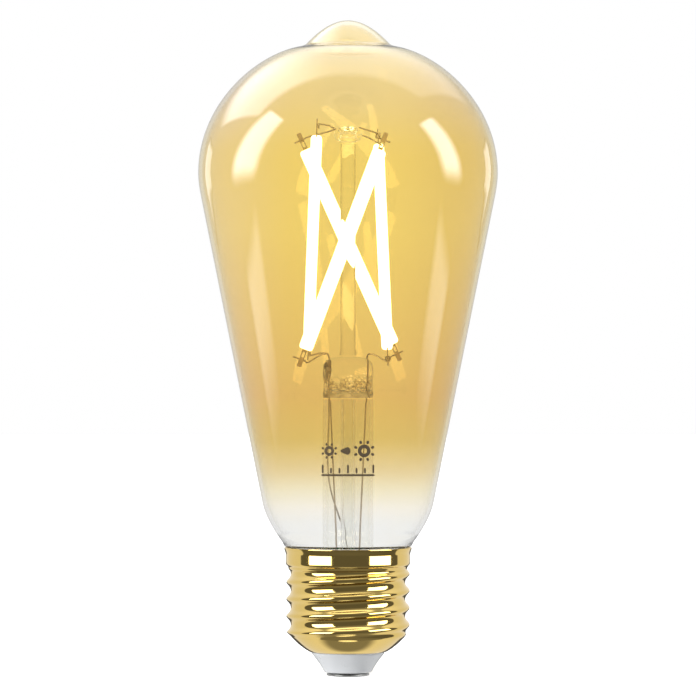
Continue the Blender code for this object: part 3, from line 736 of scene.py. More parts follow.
def smooth_rows(rows, per_gap, before, after):
    """Fill in between rows of numbers smoothly; before and after lie past the ends."""
    filled = [tuple(rows[0])]
    padded = [before, *rows, after]
    for index in range(1, len(padded) - 2):
        a, b, c, d = padded[index - 1:index + 3]
        for step in range(1, per_gap + 1):
            t = step / per_gap
            filled.append(tuple(
                0.5 * (2 * q + (r - p) * t + (2 * p - 5 * q + 4 * r - s) * t * t
                       + (3 * q - p - 3 * r + s) * t ** 3)
                for p, q, r, s in zip(a, b, c, d)))
    return filled


def box_bm(centre, size, bevel):
    """A block with rounded edges about a centre."""
    bm = bmesh.new()
    bmesh.ops.create_cube(bm, size=1.0)
    bmesh.ops.scale(bm, vec=size, verts=bm.verts)
    bmesh.ops.bevel(bm, geom=bm.edges, offset=bevel, segments=3, profile=0.5, affect="EDGES")
    bmesh.ops.translate(bm, vec=centre, verts=bm.verts)
    return bm


def join_bm(target, *others):
    """Add other bmeshes to the first, and free them."""
    for other in others:
        spare = bpy.data.meshes.new("spare")
        other.to_mesh(spare)
        other.free()
        target.from_mesh(spare)
        bpy.data.meshes.remove(spare)
    return target


def metre_mesh(name, bm):
    """Turn a bmesh in millimetres into a mesh in metres, and free it."""
    bmesh.ops.scale(bm, vec=(MM, MM, MM), verts=bm.verts)
    mesh = bpy.data.meshes.new(name)
    bm.to_mesh(mesh)
    bm.free()
    return mesh


def make_piece(name, bm, material, replaced=(), smooth=True):
    """Turn a bmesh into a piece in metres that rides on the bulb."""
    bmesh.ops.recalc_face_normals(bm, faces=bm.faces)
    return place_mesh(name, metre_mesh(name, bm), material, replaced, smooth)


def place_mesh(name, mesh, material, replaced, smooth=True):
    """Link a finished mesh as a piece of the bulb."""
    mesh.name = name
    mesh.materials.clear()
    mesh.materials.append(material)
    if smooth:
        mesh.shade_smooth()
        mesh.set_sharp_from_angle(angle=SHARP_ANGLE)
    piece = bpy.data.objects.new(name, mesh)
    bpy.context.scene.collection.objects.link(piece)
    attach(piece, "root")
    if replaced:
        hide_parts(*replaced)
    return piece


# ------------------------------------------------------------ geometry nodes


def node_group(name, inputs):
    """A geometry tree with named inputs; returns the group, tree and inputs."""
    group = bpy.data.node_groups.new(name, "GeometryNodeTree")
    face = group.interface
    face.new_socket("Geometry", in_out="OUTPUT", socket_type="NodeSocketGeometry")
    for label, kind in inputs:
        face.new_socket(label, in_out="INPUT", socket_type=kind)
    tree = Tree(group)
    entry = group.nodes.new("NodeGroupInput")
    given = {label: Socket(tree, entry.outputs[label]) for label, _ in inputs}
    return group, tree, given


def end_group(tree, geometry, material):
    """Close a tree with Realize Instances and Set Material."""
    whole = tree.add("GeometryNodeRealizeInstances", None, {0: geometry})
    coated = tree.add(
        "GeometryNodeSetMaterial", None, {"Geometry": whole, "Material": material})
    tree.add("NodeGroupOutput", None, {0: coated})


def run_group(mesh, group, values):
    """Run a tree on a mesh and return the plain mesh it makes."""
    holder = bpy.data.objects.new("holder", mesh)
    bpy.context.scene.collection.objects.link(holder)
    modifier = holder.modifiers.new(group.name, "NODES")
    modifier.node_group = group
    for item in group.interface.items_tree:
        if item.in_out == "INPUT" and item.name in values:
            modifier[item.identifier] = values[item.name]
    graph = bpy.context.evaluated_depsgraph_get()
    made = bpy.data.meshes.new_from_object(
        holder.evaluated_get(graph), preserve_all_data_layers=True, depsgraph=graph)
    holder.modifiers.remove(modifier)
    bpy.data.objects.remove(holder, do_unlink=True)
    return made


def thread_group():
    """Pushes a plain tube out and in along a helix."""
    lengths = ("Pitch", "Crest Radius", "Root Radius", "Phase Height", "Bottom", "Top")
    inputs = [("Geometry", "NodeSocketGeometry")]
    inputs += [(label, "NodeSocketFloat") for label in lengths + ("Sharpness",)]
    inputs += [("Material", "NodeSocketMaterial")]
    group, tree, given = node_group("rolled_thread", inputs)
    position = tree.add("GeometryNodeInputPosition")
    x, y, z = tree.axes(position)
    angle = tree.math("ARCTAN2", y, x)
    turn = (z - given["Phase Height"]) / given["Pitch"] * (2 * math.pi) - angle
    first = tree.math("COSINE", turn)
    second = tree.math("COSINE", turn * 2.0)
    wave = first + (second - 1.0) * given["Sharpness"]
    run_in = tree.step((z - given["Bottom"]) / given["Pitch"], 0.0, 0.38)
    run_out = tree.step((given["Top"] - z) / given["Pitch"], 0.0, 0.26)
    reach = (given["Crest Radius"] - given["Root Radius"]) * 0.5
    push = wave * reach * run_in * run_out
    flat = tree.add("ShaderNodeCombineXYZ", None, {0: x, 1: y})
    outward = tree.add("ShaderNodeVectorMath", {"operation": "NORMALIZE"}, {0: flat})
    shift = tree.add(
        "ShaderNodeVectorMath", {"operation": "SCALE"}, {0: outward, "Scale": push})
    pushed = tree.add(
        "GeometryNodeSetPosition", None, {"Geometry": given["Geometry"], "Offset": shift})
    end_group(tree, pushed, given["Material"])
    return group


def sweep_group():
    """Sweeps a round section along the edges of a mesh."""
    group, tree, given = node_group("swept_wire", [
        ("Geometry", "NodeSocketGeometry"), ("Radius", "NodeSocketFloat"),
        ("Sides", "NodeSocketInt"), ("Material", "NodeSocketMaterial")])
    line = tree.add("GeometryNodeMeshToCurve", None, {0: given["Geometry"]})
    section = tree.add(
        "GeometryNodeCurvePrimitiveCircle", None,
        {"Resolution": given["Sides"], "Radius": given["Radius"]})
    tube = tree.add(
        "GeometryNodeCurveToMesh", None,
        {"Curve": line, "Profile Curve": section, "Fill Caps": True})
    end_group(tree, tube, given["Material"])
    return group


def coil_group():
    """A close winding of wire on a bobbin."""
    group, tree, given = node_group("copper_winding", [
        ("Geometry", "NodeSocketGeometry"), ("Turns", "NodeSocketFloat"),
        ("Coil Radius", "NodeSocketFloat"), ("Height", "NodeSocketFloat"),
        ("Wire Radius", "NodeSocketFloat"), ("Offset", "NodeSocketVector"),
        ("Material", "NodeSocketMaterial")])
    spiral = tree.add("GeometryNodeCurveSpiral", None, {
        "Resolution": 32, "Rotations": given["Turns"], "Start Radius": given["Coil Radius"],
        "End Radius": given["Coil Radius"], "Height": given["Height"]})
    section = tree.add(
        "GeometryNodeCurvePrimitiveCircle", None,
        {"Resolution": 8, "Radius": given["Wire Radius"]})
    tube = tree.add(
        "GeometryNodeCurveToMesh", None,
        {"Curve": spiral, "Profile Curve": section, "Fill Caps": True})
    placed = tree.add(
        "GeometryNodeTransform", None, {"Geometry": tube, "Translation": given["Offset"]})
    both = tree.add("GeometryNodeJoinGeometry", None, {"Geometry": given["Geometry"]})
    tree.feed(both.link.node.inputs["Geometry"], placed)
    end_group(tree, both, given["Material"])
    return group


def path_mesh(points):
    """A mesh of edges along a line, in metres."""
    mesh = bpy.data.meshes.new("path")
    count = len(points)
    mesh.from_pydata(
        [tuple(point * MM) for point in points],
        [(index, index + 1) for index in range(count - 1)], [])
    return mesh


# ---------------------------------------------------------------- the globe


def globe_line(fine):
    """Outer line of the globe from the foot of the neck to the tip."""
    rise = NUB_FOOT[1] - WIDEST[1]
    run = WIDEST[0] - NUB_FOOT[0]
    nub = NUB_FLANK[0]
    return extend(
        [(NECK_RADIUS, GLASS_LOW.z), (NECK_RADIUS, CAP_TOP - 2.8)],
        ((NECK_RADIUS, CAP_TOP - 0.4), (NECK_RADIUS + 0.6, CAP_TOP + 0.12),
         (RIM_RADIUS - 0.35, CAP_TOP + 0.16), 3 * fine),
        ((RIM_RADIUS + 0.05, CAP_TOP + 0.2), (RIM_RADIUS + 0.12, CAP_TOP + 0.6),
         SHOULDER, 3 * fine),
        ((SHOULDER[0] + 1.6, SHOULDER[1] + 2.1),
         (CONE_FOOT[0] - 3.0 * CONE_SLOPE, CONE_FOOT[1] - 3.0), CONE_FOOT, 4 * fine),
        ((CONE_FOOT[0] + 15.0 * CONE_SLOPE, CONE_FOOT[1] + 15.0),
         (CONE_HEAD[0] - 15.0 * CONE_SLOPE, CONE_HEAD[1] - 15.0), CONE_HEAD, 5 * fine),
        ((CONE_HEAD[0] + 2.5 * CONE_SLOPE, CONE_HEAD[1] + 2.5),
         (WIDEST[0], WIDEST[1] - 2.3), WIDEST, 2 * fine),
        ((WIDEST[0], WIDEST[1] + 0.512 * rise),
         (NUB_FOOT[0] + 0.46 * run, NUB_FOOT[1] - 0.3 * 0.46 * run), NUB_FOOT, 8 * fine),
        ((NUB_FOOT[0] - 1.2, NUB_FOOT[1] + 0.36),
         (NUB_FLANK[0] + 0.6, NUB_FLANK[1] - 0.6), NUB_FLANK, 2 * fine),
        ((0.74 * nub, NUB_FLANK[1] + 2.4), (0.4 * nub, TIP), (0.0, TIP), 4 * fine))


def on_glass(across, up, lift):
    """Point on the outside of the cone, across and up in millimetres."""
    lean = math.hypot(1.0, CONE_SLOPE)
    radius = CONE_FOOT[0] + CONE_SLOPE * (up - CONE_FOOT[1])
    angle = across / radius
    out = radius + lift / lean
    return Vector((out * math.sin(angle), -out * math.cos(angle), up - lift * CONE_SLOPE / lean))


def stroke(bm, line, widths, closed=False):
    """A thin flat stroke on the glass along a line of (across, up)."""
    low, high = 0.01, 0.05
    rings = []
    count = len(line)
    for index, (u, v) in enumerate(line):
        before = line[index - 1] if closed or index > 0 else line[0]
        after = line[(index + 1) % count] if closed or index < count - 1 else line[-1]
        way = Vector((after[0] - before[0], after[1] - before[1])).normalized()
        side = Vector((-way.y, way.x)) * widths[index] / 2
        ring = []
        for sign, lift in ((1, low), (-1, low), (-1, high), (1, high)):
            ring.append(bm.verts.new(on_glass(u + sign * side.x, v + sign * side.y, lift)))
        rings.append(ring)
    pairs = list(zip(rings, rings[1:]))
    if closed:
        pairs.append((rings[-1], rings[0]))
    for first, second in pairs:
        for side in range(4):
            after = (side + 1) % 4
            bm.faces.new((first[side], first[after], second[after], second[side]))
    if not closed:
        bm.faces.new(list(reversed(rings[0])))
        bm.faces.new(rings[-1])


def bar(bm, start, end, width, end_width=None):
    """A straight stroke with rounded ends."""
    end_width = width if end_width is None else end_width
    first = Vector(start)
    last = Vector(end)
    length = (last - first).length
    line = []
    widths = []
    steps = max(6, math.ceil(length / 0.25))
    for index in range(steps + 1):
        share = index / steps
        full = width + (end_width - width) * share
        near = min(share, 1.0 - share) * length
        rounding = min(1.0, near / (0.5 * full) + 1e-6)
        widths.append(full * math.sqrt(max(0.06, 1.0 - (1.0 - rounding) ** 2)))
        line.append(tuple(first.lerp(last, share)))
    stroke(bm, line, widths)


def sun(bm, centre, size, width, rays):
    """A generic brightness sign: a ring with rays about it."""
    ring = [
        (centre[0] + 0.42 * size * math.cos(2 * math.pi * k / 40),
         centre[1] + 0.42 * size * math.sin(2 * math.pi * k / 40)) for k in range(40)]
    stroke(bm, ring, [width] * len(ring), closed=True)
    for index in range(rays):
        angle = 2 * math.pi * (index + 0.5) / rays
        way = (math.cos(angle), math.sin(angle))
        bar(
            bm, [c + w * 0.68 * size for c, w in zip(centre, way)],
            [c + w * size for c, w in zip(centre, way)], 0.75 * width)


class BULB_OT_globe(bpy.types.Operator):
    """Make the amber glass globe"""

    bl_idname = "bulb.globe"
    bl_label = "Glass globe"

    def execute(self, context):
        sizes = context.scene.bulb_sizes
        wall = sizes.glass_wall / MM
        tip = sizes.tip_wall / MM

        def thickness(height):
            share = max(0.0, min(1.0, (height - NUB_FOOT[1]) / (TIP - NUB_FOOT[1])))
            pinch = max(0.0, 1.0 - abs(height - CAP_TOP - 0.4) / 2.4)
            return (wall + (tip - wall) * share) * (1.0 - 0.55 * pinch)

        outer = even_line(globe_line(6), 0.9)
        inner = wall_line(outer, thickness)
        inner[0] = (NECK_RADIUS - wall, GLASS_LOW.z)
        bm = lathe(outer + list(reversed(inner)), FINE_ROUND)
        make_piece(
            "globe", bm, amber_glass(context.scene.bulb_finishes),
            ("glass_envelope",))
        return {"FINISHED"}


class BULB_OT_mark(bpy.types.Operator):
    """Print the generic dimming mark on the globe"""

    bl_idname = "bulb.mark"
    bl_label = "Printed mark"

    def execute(self, context):
        sizes = context.scene.bulb_sizes
        half = sizes.mark_width / MM / 2
        middle = sizes.mark_height / MM
        bm = bmesh.new()
        row, small, large, rays = middle + 2.1, 1.75, 2.3, 8
        sun(bm, (-half + small, row), small, 0.6, rays)
        sun(bm, (half - large, row), large, 0.75, rays)
        bar(bm, (-half + 4.1, row), (half - 5.2, row), 0.4, 2.2)
        rule = middle - 3.0
        bar(bm, (-half, rule), (half, rule), 0.42)
        gaps, inset = 6, 0.35
        for index in range(gaps + 1):
            tall = 1.9 if index % 3 == 0 else 1.2
            across = -half + inset + 2 * (half - inset) * index / gaps
            bar(bm, (across, rule + inset), (across, rule + inset + tall), 0.4)
        ink = dull_solid(
            "printed_ink", tuple(context.scene.bulb_finishes.ink), 0.55, 900.0, 0.004)
        make_piece("dimming_mark", bm, ink)
        return {"FINISHED"}


# ------------------------------------------------------------------- the cap


class BULB_OT_shell(bpy.types.Operator):
    """Make the threaded gold shell"""

    bl_idname = "bulb.shell"
    bl_label = "Screw shell"

    def execute(self, context):
        sizes = context.scene.bulb_sizes
        crest = sizes.thread_crest / MM
        root = sizes.thread_root / MM
        mean = (crest + root) / 2
        lip = (LIP_RADIUS, SHELL_LOW.z)
        taper_top = (root - TAPER_GAP, THREAD_BOTTOM)
        line = even_line(extend(
            [lip],
            ((lip[0] + 1.2, lip[1] + 0.45), (taper_top[0] - 1.0, taper_top[1] - 1.15),
             taper_top, 16),
            ((taper_top[0] + 0.25, taper_top[1] + 0.35), (mean, THREAD_BOTTOM + 0.5),
             (mean, THREAD_BOTTOM + 1.2), 6),
            (mean, THREAD_BOTTOM + 1.4), (mean, THREAD_TOP - 0.3)), 0.17)
        extend(
            line,
            ((mean, THREAD_TOP + 0.3), (SKIRT_RADIUS - 0.02, SKIRT_BOTTOM - 0.35),
             (SKIRT_RADIUS, SKIRT_BOTTOM + 0.25), 10),
            (SKIRT_RADIUS, SKIRT_BOTTOM + 0.4), (SKIRT_RADIUS, CAP_TOP - 1.45),
            (SKIRT_RADIUS, CAP_TOP - 1.35),
            ((SKIRT_RADIUS + 0.03, CAP_TOP - 1.15), (RIM_RADIUS - 0.1, CAP_TOP - 0.6),
             (RIM_RADIUS, CAP_TOP - 0.16), 12),
            ((RIM_RADIUS, CAP_TOP - 0.05), (RIM_RADIUS - 0.05, CAP_TOP),
             (RIM_RADIUS - 0.15, CAP_TOP), 3))
        inner = wall_line(line, lambda height: SHEET)
        inner[-1] = (RIM_RADIUS - SHEET, CAP_TOP - 0.04)
        inner[0] = (LIP_RADIUS, SHELL_LOW.z + SHEET)
        bm = lathe(line + list(reversed(inner)), FINE_ROUND)
        bmesh.ops.recalc_face_normals(bm, faces=bm.faces)
        plate = gold_plate(context.scene.bulb_finishes)
        made = run_group(metre_mesh("plain_shell", bm), thread_group(), {
            "Pitch": sizes.thread_pitch, "Crest Radius": sizes.thread_crest,
            "Root Radius": sizes.thread_root, "Phase Height": THREAD_PHASE * MM,
            "Bottom": THREAD_BOTTOM * MM, "Top": THREAD_TOP * MM,
            "Sharpness": THREAD_SHARPNESS, "Material": plate})
        shell = place_mesh("screw_shell", made, plate, ("cap_shell",))
        shell.data.materials.append(dull_solid(
            "inner_lacquer", (0.84, 0.84, 0.82), 0.6, 900.0, 0.01, 0.95))
        for face in shell.data.polygons:
            x, y, z = face.center
            inward = face.normal.x * x + face.normal.y * y < 0.0
            if inward and z < (CAP_TOP - 0.3) * MM and face.normal.z > -0.9:
                face.material_index = 1
        return {"FINISHED"}


class BULB_OT_cap_end(bpy.types.Operator):
    """Make the insulator, the centre contact and the basing cement"""

    bl_idname = "bulb.cap_end"
    bl_label = "Insulator and contact"

    def execute(self, context):
        finishes = context.scene.bulb_finishes
        foot = INSULATOR_LOW.z
        top = INSULATOR_HIGH.z
        throat = LIP_RADIUS - 0.3
        outline = extend(
            [(1.2, foot), (4.75, foot)],
            ((4.95, foot), (5.1, foot + 0.08), (5.2, foot + 0.3), 5),
            ((5.7, foot + 1.4), (6.9, foot + 3.0), (throat, 4.75), 14),
            (throat, 5.6), (8.5, 5.75), (9.4, 6.6), (10.0, top), (1.2, top))
        make_piece(
            "insulator", lathe(even_line(outline, 0.5), ROUND), moulded_insulator(finishes),
            ("cap_insulator",))

        high = CONTACT_HIGH.z
        outline = extend(
            [(0.0, 0.0), (2.6, 0.0), (3.9, 0.0)], ((4.3, 0.0), (4.55, 0.08), (4.6, 0.25), 6),
            (4.6, 0.42), (4.55, 0.45), (0.9, 0.45), (0.9, high), (0.5, high),
            (0.5, 0.6), (0.0, 0.6))
        make_piece(
            "contact", lathe(outline, ROUND), nickel(finishes),
            ("centre_contact",))

        low, high = CEMENT_LOW.z, CEMENT_HIGH.z
        near, far = NECK_RADIUS + 0.45, CEMENT_HIGH.x
        outline = [(near, low), (far, low), (far, high), (near + 0.2, high)]
        bm = lathe(even_line(outline, 0.3), ROUND)
        for vert in bm.verts:
            if vert.co.z > low + 0.5:
                vert.co.z += 0.12 * noise.noise(vert.co * 1.6)
        cement = dull_solid("basing_cement", (0.6, 0.55, 0.46), 0.9, 1300.0, 0.05)
        make_piece("cement_bead", bm, cement, ("basing_cement",))
        return {"FINISHED"}


# ------------------------------------------------------------------ the stem


class BULB_OT_stem(bpy.types.Operator):
    """Make the flare, exhaust tube, press, column and button of the stem"""

    bl_idname = "bulb.stem"
    bl_label = "Glass stem"

    def execute(self, context):
        glass = clear_glass(context.scene.bulb_finishes)
        wrinkle = context.scene.bulb_sizes.wrinkle / MM
        # The rod glass gets strong brown painted shade along its edges.
        rod = clear_glass(
            context.scene.bulb_finishes, "rod_glass", (0.25, 0.18, 0.08), 2.2, 1.04)
        self.tubes(glass)
        self.press(creased_glass_painted_shade(context.scene.bulb_finishes), wrinkle)
        self.column(rod)
        self.button(glass)
        return {"FINISHED"}

    def tubes(self, glass):
        """The flare and the exhaust tube inside it."""
        flange = FLARE_HIGH.x
        low = FLARE_LOW.z + 0.2
        top = FLARE_HIGH.z
        outer = extend([(flange, low)], (
            (flange - 1.5, low + 0.3), (STEM_RADIUS, low + 3.2), (STEM_RADIUS, FLARE_START), 18))
        outer += even_line([outer[-1], (STEM_RADIUS, top)], 1.5)[1:]
        inner = wall_line(outer, lambda height: STEM_WALL)
        inner[0] = (flange - STEM_WALL, low - 0.2)
        inner[-1] = (STEM_RADIUS - STEM_WALL, top)
        make_piece(
            "flare_tube", lathe(outer + list(reversed(inner)), FINE_ROUND), glass,
            ("stem_flare",))

        tip = TUBE_LOW.z
        outline = extend([(0.0, tip)], ((0.9, tip), (1.6, tip + 0.9), (1.6, tip + 2.0), 10))
        outline += even_line([outline[-1], (1.6, TUBE_HIGH.z)], 2.0)[1:]
        outline += even_line([(1.0, TUBE_HIGH.z), (1.0, tip + 2.6)], 2.0)
        extend(outline, ((1.0, tip + 1.8), (0.5, tip + 1.4), (0.0, tip + 1.4), 6))
        make_piece(
            "sealed_tube", lathe(outline, ROUND), glass,
            ("exhaust_tube",))

    def press(self, glass, wrinkle):
        """The pinched glass round the leads, with its creases."""
        low, high = PRESS_LOW.z, PRESS_HIGH.z
        tall = high - low
        wide, deep = STEM_RADIUS, 2.2
        rows = (
            (low, 0.985 * wide, 1.9 * deep, 2.1),
            (low + 0.1 * tall, 1.0 * wide, 1.25 * deep, 2.4),
            (low + 0.25 * tall, 0.985 * wide, 0.95 * deep, 2.8),
            (low + 0.42 * tall, 0.98 * wide, 1.0 * deep, 3.0),
            (low + 0.6 * tall, 1.0 * wide, 1.2 * deep, 2.6),
            (low + 0.8 * tall, 0.97 * wide, 1.25 * deep, 2.4),
            (low + 0.92 * tall, 0.84 * wide, 1.1 * deep, 2.2),
            (low + 0.985 * tall, 0.55 * wide, 0.9 * deep, 2.0),
            (high, 0.34 * wide, 0.8 * deep, 2.0),
        )
        bm = bmesh.new()
        rings = []
        for height, half_x, half_y, power in smooth_rows(rows, 12, rows[0], rows[-1]):
            ring = []
            for side in range(ROUND):
                x, y = squircle(2 * math.pi * side / ROUND, power)
                ring.append(bm.verts.new((x * half_x, y * half_y, height)))
            rings.append(ring)
        ring_skin(bm, rings)
        bm.normal_update()
        for vert in bm.verts:
            share = (vert.co.z - low) / tall
            pinch = math.exp(-((share - 0.2) / 0.15) ** 2)
            flank = math.exp(-((vert.co.x + 4.6) / 0.9) ** 2) * min(1.0, 1.4 - share)
            weight = max(pinch, 0.8 * flank) * min(1.0, share / 0.06)
            seed = Vector((vert.co.x * 1.1, vert.co.y * 0.7, vert.co.z * 1.5))
            ridge = 1.0 - 2.0 * abs(noise.noise(seed))
            fine = noise.noise(seed * 2.7 + Vector((7.0, 3.0, 1.0)))
            vert.co += vert.normal * wrinkle * weight * (ridge - 1.0 + 0.35 * fine)
        make_piece("pinched_press", bm, glass, ("stem_press",))

    def column(self, glass):
        """The glass rod between press and button."""
        low, high = COLUMN_LOW.z, COLUMN_HIGH.z
        outline = [(0.0, low)] + even_line([(1.85, low), (COLUMN_RADIUS + 0.05, low + 0.9)], 0.2)
        outline += even_line([(COLUMN_RADIUS, low + 1.5), (COLUMN_RADIUS, high)], 3.0)
        outline += [(0.0, high)]
        make_piece(
            "column_rod", lathe(outline, ROUND), glass,
            ("support_column",))

    def button(self, glass):
        """The melted head of the column, with a lug each side for the wires."""
        low, high = BUTTON_LOW.z, BUTTON_HIGH.z
        tall = high - low
        foot = bezier((1.5, low), (2.3, low), (2.3, low + 0.9), (1.85, low + 1.1), 8)
        outline = extend(
            [(0.0, low)] + foot,
            ((1.7, low + 1.5), (1.7, low + 2.0), (1.95, low + 2.4), 6),
            ((2.25, high - 0.2), (1.95, high), (1.6, high), 8),
            ((1.2, high), (1.25, high - 0.9), (0.0, high - 1.0), 8))
        bm = lathe(outline, SMALL_ROUND)
        for way in (-1.0, 1.0):
            for reach, rise, radius in ((2.25, 0.58, 0.72), (2.05, 0.3, 0.7), (2.45, 0.44, 0.6)):
                blob = bmesh.new()
                bmesh.ops.create_icosphere(blob, subdivisions=3, radius=radius)
                place = Vector((way * reach, 0.15 * way, low + rise * tall))
                bmesh.ops.translate(blob, vec=place, verts=blob.verts)
                join_bm(bm, blob)
        bmesh.ops.recalc_face_normals(bm, faces=bm.faces)
        holder = bpy.data.objects.new("raw_button", metre_mesh("raw_button", bm))
        bpy.context.scene.collection.objects.link(holder)
        fuse = holder.modifiers.new("fuse", "REMESH")
        fuse.mode = "VOXEL"
        fuse.voxel_size = 0.085 * MM
        relax = holder.modifiers.new("relax", "SMOOTH")
        relax.factor = 0.5
        relax.iterations = 6
        graph = bpy.context.evaluated_depsgraph_get()
        made = bpy.data.meshes.new_from_object(holder.evaluated_get(graph), depsgraph=graph)
        bpy.data.objects.remove(holder, do_unlink=True)
        place_mesh("melted_button", made, glass, ("column_button",))


# ------------------------------------------------------------ strips and wires


def ring_point(radius, azimuth, height):
    """Point on a level ring about the axis."""
    angle = math.radians(azimuth)
    return Vector((radius * math.cos(angle), radius * math.sin(angle), height))


def strip_frame(strip):
    """Upper and lower weld of a strip and its width, depth and long axes."""
    _, top_azimuth, bottom_azimuth, top_rise, bottom_rise = strip
    top = ring_point(TOP_RING, top_azimuth, TOP_WELDS + top_rise)
    bottom = ring_point(BOTTOM_RING, bottom_azimuth, BOTTOM_WELDS + bottom_rise)
    along = (top - bottom).normalized()
    turn = (bottom_azimuth - top_azimuth + 540.0) % 360.0 - 180.0
    outward = ring_point(1.0, top_azimuth + turn / 2, 0.0)
    outward = (outward - along * outward.dot(along)).normalized()
    across = outward.cross(along)
    return top, bottom, across, outward, along


class BULB_OT_strips(bpy.types.Operator):
    """Make the four glowing light strips"""

    bl_idname = "bulb.strips"
    bl_label = "Light strips"

    def execute(self, context):
        sizes = context.scene.bulb_sizes
        glow = strip_phosphor(context.scene.bulb_finishes)
        wide = sizes.strip_width / MM / 2
        deep = sizes.strip_depth / MM / 2
        for strip in STRIPS:
            top, bottom, across, outward, along = strip_frame(strip)
            length = (top - bottom).length - 2 * STRIP_END_GAP
            middle = (top + bottom) / 2
            bm = bmesh.new()
            rings = []
            stations = [(0.0, 0.72), (0.12, 0.86), (0.35, 0.95), (0.7, 1.0)]
            count = 44
            inner = [
                (0.7 + (length - 1.4) * k / count, 1.0) for k in range(1, count)]
            stations += inner + [(length - d, s) for d, s in reversed(stations)]
            for distance, size in stations:
                place = middle + along * (distance - length / 2)
                ring = []
                for side in range(32):
                    x, y = squircle(2 * math.pi * side / 32, 3.2)
                    swell = 0.985 + 0.015 * noise.noise(place * 0.9 + Vector((x, y, 0.0)))
                    ring.append(bm.verts.new(
                        place + across * (x * wide * size * swell)
                        + outward * (y * deep * size * swell)))
                rings.append(ring)
            ring_skin(bm, rings)
            name = strip[0]
            piece = make_piece(
                f"strip_{name}", bm, glow, (f"filament_{name}",))
            piece.visible_glossy = False
        return {"FINISHED"}


class BULB_OT_tabs(bpy.types.Operator):
    """Make the stamped tabs at the ends of the strips"""

    bl_idname = "bulb.tabs"
    bl_label = "Strip tabs"

    def execute(self, context):
        sizes = context.scene.bulb_sizes
        steel = drawn_metal("tab_steel", tuple(context.scene.bulb_finishes.steel), 0.3)
        half = sizes.tab_width / MM / 2
        thick = sizes.tab_thickness / MM / 2
        for strip in STRIPS:
            top, bottom, across, outward, along = strip_frame(strip)
            for end, weld, way in (("top", top, along), ("bottom", bottom, -along)):
                bm = bmesh.new()
                near, far = -STRIP_END_GAP + WELD_GAP, TAB_OVERSHOOT
                window = (near + 0.5, -0.55, 0.55 * half)
                corner = 0.16
                outer = [
                    (-half, near), (half, near), (half, far - corner), (half - corner, far),
                    (-half + corner, far), (-half, far - corner)]
                hole = [
                    (-window[2], window[0]), (window[2], window[0]),
                    (window[2], window[1]), (-window[2], window[1])]
                links = ((0, 0), (1, 1), (2, 2), (3, 2), (4, 3), (5, 3))
                levels = []
                for level in (-thick, thick):
                    rim = [
                        bm.verts.new(weld + across * u + way * v + outward * level)
                        for u, v in outer]
                    bore = [
                        bm.verts.new(weld + across * u + way * v + outward * level)
                        for u, v in hole]
                    levels.append((rim, bore))
                    for (a, p), (b, q) in zip(links, links[1:] + links[:1]):
                        corners = [rim[a], rim[b], bore[q]]
                        if p != q:
                            corners.append(bore[p])
                        bm.faces.new(corners)
                (low_rim, low_bore), (high_rim, high_bore) = levels
                for low, high in ((low_rim, high_rim), (low_bore, high_bore)):
                    count = len(low)
                    for index in range(count):
                        after = (index + 1) % count
                        bm.faces.new((low[index], low[after], high[after], high[index]))
                bmesh.ops.recalc_face_normals(bm, faces=bm.faces)
                edges = [
                    edge for edge in bm.edges if len(edge.link_faces) == 2
                    and edge.calc_face_angle() > 1.2]
                bmesh.ops.bevel(
                    bm, geom=edges, offset=0.04, segments=2, profile=0.5, affect="EDGES")
                name = f"{strip[0]}_{end}"
                make_piece(
                    f"stamped_tab_{name}", bm, steel, (f"tab_{name}",))
        return {"FINISHED"}


def rounded_path(points, per_span):
    """Smooth line through the points, kept straight at the ends."""
    before = points[0] * 2 - points[1]
    after = points[-1] * 2 - points[-2]
    return [Vector(row) for row in smooth_rows(points, per_span, before, after)]


